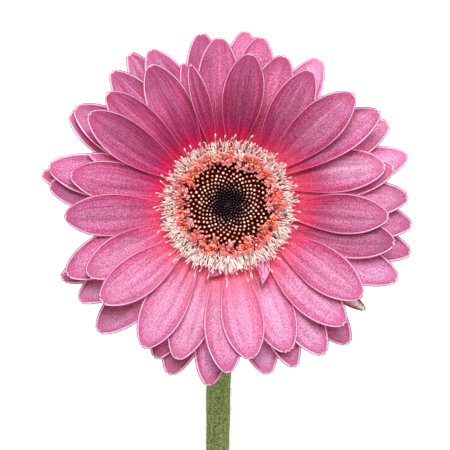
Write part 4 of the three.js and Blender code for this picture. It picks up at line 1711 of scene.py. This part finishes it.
class GERBERA_OT_stage(Operator):
    """Makes the floor, the soft lights and the camera that looks along the head's axis"""

    bl_idname = "gerbera.stage"
    bl_label = "Stage"

    def execute(self, context):
        sizes = context.scene.gerbera_stage
        self.make_floor(sizes)
        self.make_lights(context, sizes)
        self.make_camera(context, sizes)
        return {"FINISHED"}

    def make_floor(self, sizes):
        """A pale floor, wider than any view of it, that glows a little and looks white."""
        reach = 3.0  # metres
        corners = [(-reach, -reach, 0), (reach, -reach, 0), (reach, reach, 0), (-reach, reach, 0)]
        mesh = bpy.data.meshes.new("floor")
        mesh.from_pydata(corners, [], [(0, 1, 2, 3)])
        material, wires, shader = new_material("Pale floor", Roughness=0.8)
        shader.inputs["Base Color"].default_value = (*sizes.floor, 1.0)
        shader.inputs["Emission Color"].default_value = (1.0, 1.0, 1.0, 1.0)
        seen = wires.add("ShaderNodeLightPath").outputs["Is Camera Ray"]
        wires.feed(shader.inputs["Emission Strength"], wires.math("MULTIPLY_ADD", seen, 0.86, 0.1))
        mesh.materials.append(material)
        place_object("floor", mesh)

    def make_lights(self, context, sizes):
        """A surround that is brightest towards one side of the head, and one weak broad lamp there.

        The surround looks plain white itself.
        """
        world = bpy.data.worlds.new("Studio")
        world.use_nodes = True
        wires = Wires(world.node_tree)
        background = world.node_tree.nodes["Background"]
        gaze = wires.add("ShaderNodeTexCoord").outputs["Generated"]
        way = self.light_way(sizes)
        facing = wires.add("ShaderNodeVectorMath", {0: gaze, 1: way}, operation="DOT_PRODUCT")
        facing = facing.outputs["Value"]
        lobe = wires.math("POWER", wires.math("MAXIMUM", facing, 0.0), sizes.softness)
        light = wires.math("MULTIPLY_ADD", lobe, sizes.key_glow, sizes.fill)
        seen = wires.add("ShaderNodeLightPath").outputs["Is Camera Ray"]
        mixed = wires.add("ShaderNodeMix", {"Factor": seen, "A": light, "B": 1.0}, data_type="FLOAT")
        wires.feed(background.inputs["Strength"], mixed.outputs[0])
        background.inputs["Color"].default_value = (1.0, 1.0, 1.0, 1.0)
        context.scene.world = world
        data = bpy.data.lights.new("key", "AREA")
        data.shape = "DISK"
        data.size = 0.5
        data.energy = sizes.key_power
        lamp = place_object("key", data)
        lamp.location = HEAD.translation + 1.25 * way
        lamp.rotation_euler = (-way).to_track_quat("-Z", "Y").to_euler()

    def light_way(self, sizes):
        """The direction towards the light, in the world."""
        flat = math.cos(sizes.key_height)
        way = (flat * math.cos(sizes.key_turn), flat * math.sin(sizes.key_turn), math.sin(sizes.key_height))
        return HEAD.to_3x3().normalized() @ Vector(way)

    def make_camera(self, context, sizes):
        """The camera over the head, far enough away that the view is as wide as asked."""
        data = bpy.data.cameras.new("camera")
        data.sensor_width = 36.0
        data.lens = sizes.lens
        data.clip_start = 0.01
        data.clip_end = 10.0
        camera = place_object("camera", data)
        distance = sizes.lens * sizes.view_width / MM / data.sensor_width
        aim = HEAD @ Vector((-0.9, -5.8, distance))
        camera.matrix_world = Matrix.Translation(aim) @ HEAD.to_quaternion().to_matrix().to_4x4()
        context.scene.camera = camera
        context.scene.view_settings.view_transform = "Standard"


OPERATORS = (
    GERBERA_OT_petals,
    GERBERA_OT_disc,
    GERBERA_OT_trans_florets,
    GERBERA_OT_pappus,
    GERBERA_OT_bracts,
    GERBERA_OT_stem,
    GERBERA_OT_stage,
)
GROUPS = {
    "gerbera_petals": GerberaPetals,
    "gerbera_centre": GerberaCentre,
    "gerbera_green": GerberaGreen,
    "gerbera_stage": GerberaStage,
}


class GERBERA_PT_panel(Panel):
    """Lists the flower's sizes and colours, and the operators that make its pieces"""

    bl_label = "Gerbera"
    bl_idname = "GERBERA_PT_panel"
    bl_space_type = "VIEW_3D"
    bl_region_type = "UI"
    bl_category = "Gerbera"

    def draw(self, context):
        for name, group in GROUPS.items():
            box = self.layout.box()
            for key in group.__annotations__:
                box.prop(getattr(context.scene, name), key)
        for operator in OPERATORS:
            self.layout.operator(operator.bl_idname)


def register():
    """Adds the properties, the operators and the panel."""
    for group in GROUPS.values():
        bpy.utils.register_class(group)
    for name, group in GROUPS.items():
        setattr(bpy.types.Scene, name, PointerProperty(type=group))
    for operator in OPERATORS:
        bpy.utils.register_class(operator)
    bpy.utils.register_class(GERBERA_PT_panel)


def unregister():
    """Takes away what register added."""
    bpy.utils.unregister_class(GERBERA_PT_panel)
    for operator in reversed(OPERATORS):
        bpy.utils.unregister_class(operator)
    for name in GROUPS:
        delattr(bpy.types.Scene, name)
    for group in reversed(list(GROUPS.values())):
        bpy.utils.unregister_class(group)


def main():
    """Builds every piece and the stage."""
    register()
    bpy.ops.gerbera.petals()
    bpy.ops.gerbera.disc()
    bpy.ops.gerbera.trans_florets()
    bpy.ops.gerbera.pappus()
    bpy.ops.gerbera.bracts()
    bpy.ops.gerbera.stem()
    bpy.ops.gerbera.stage()


if __name__ == "__main__":
    main()
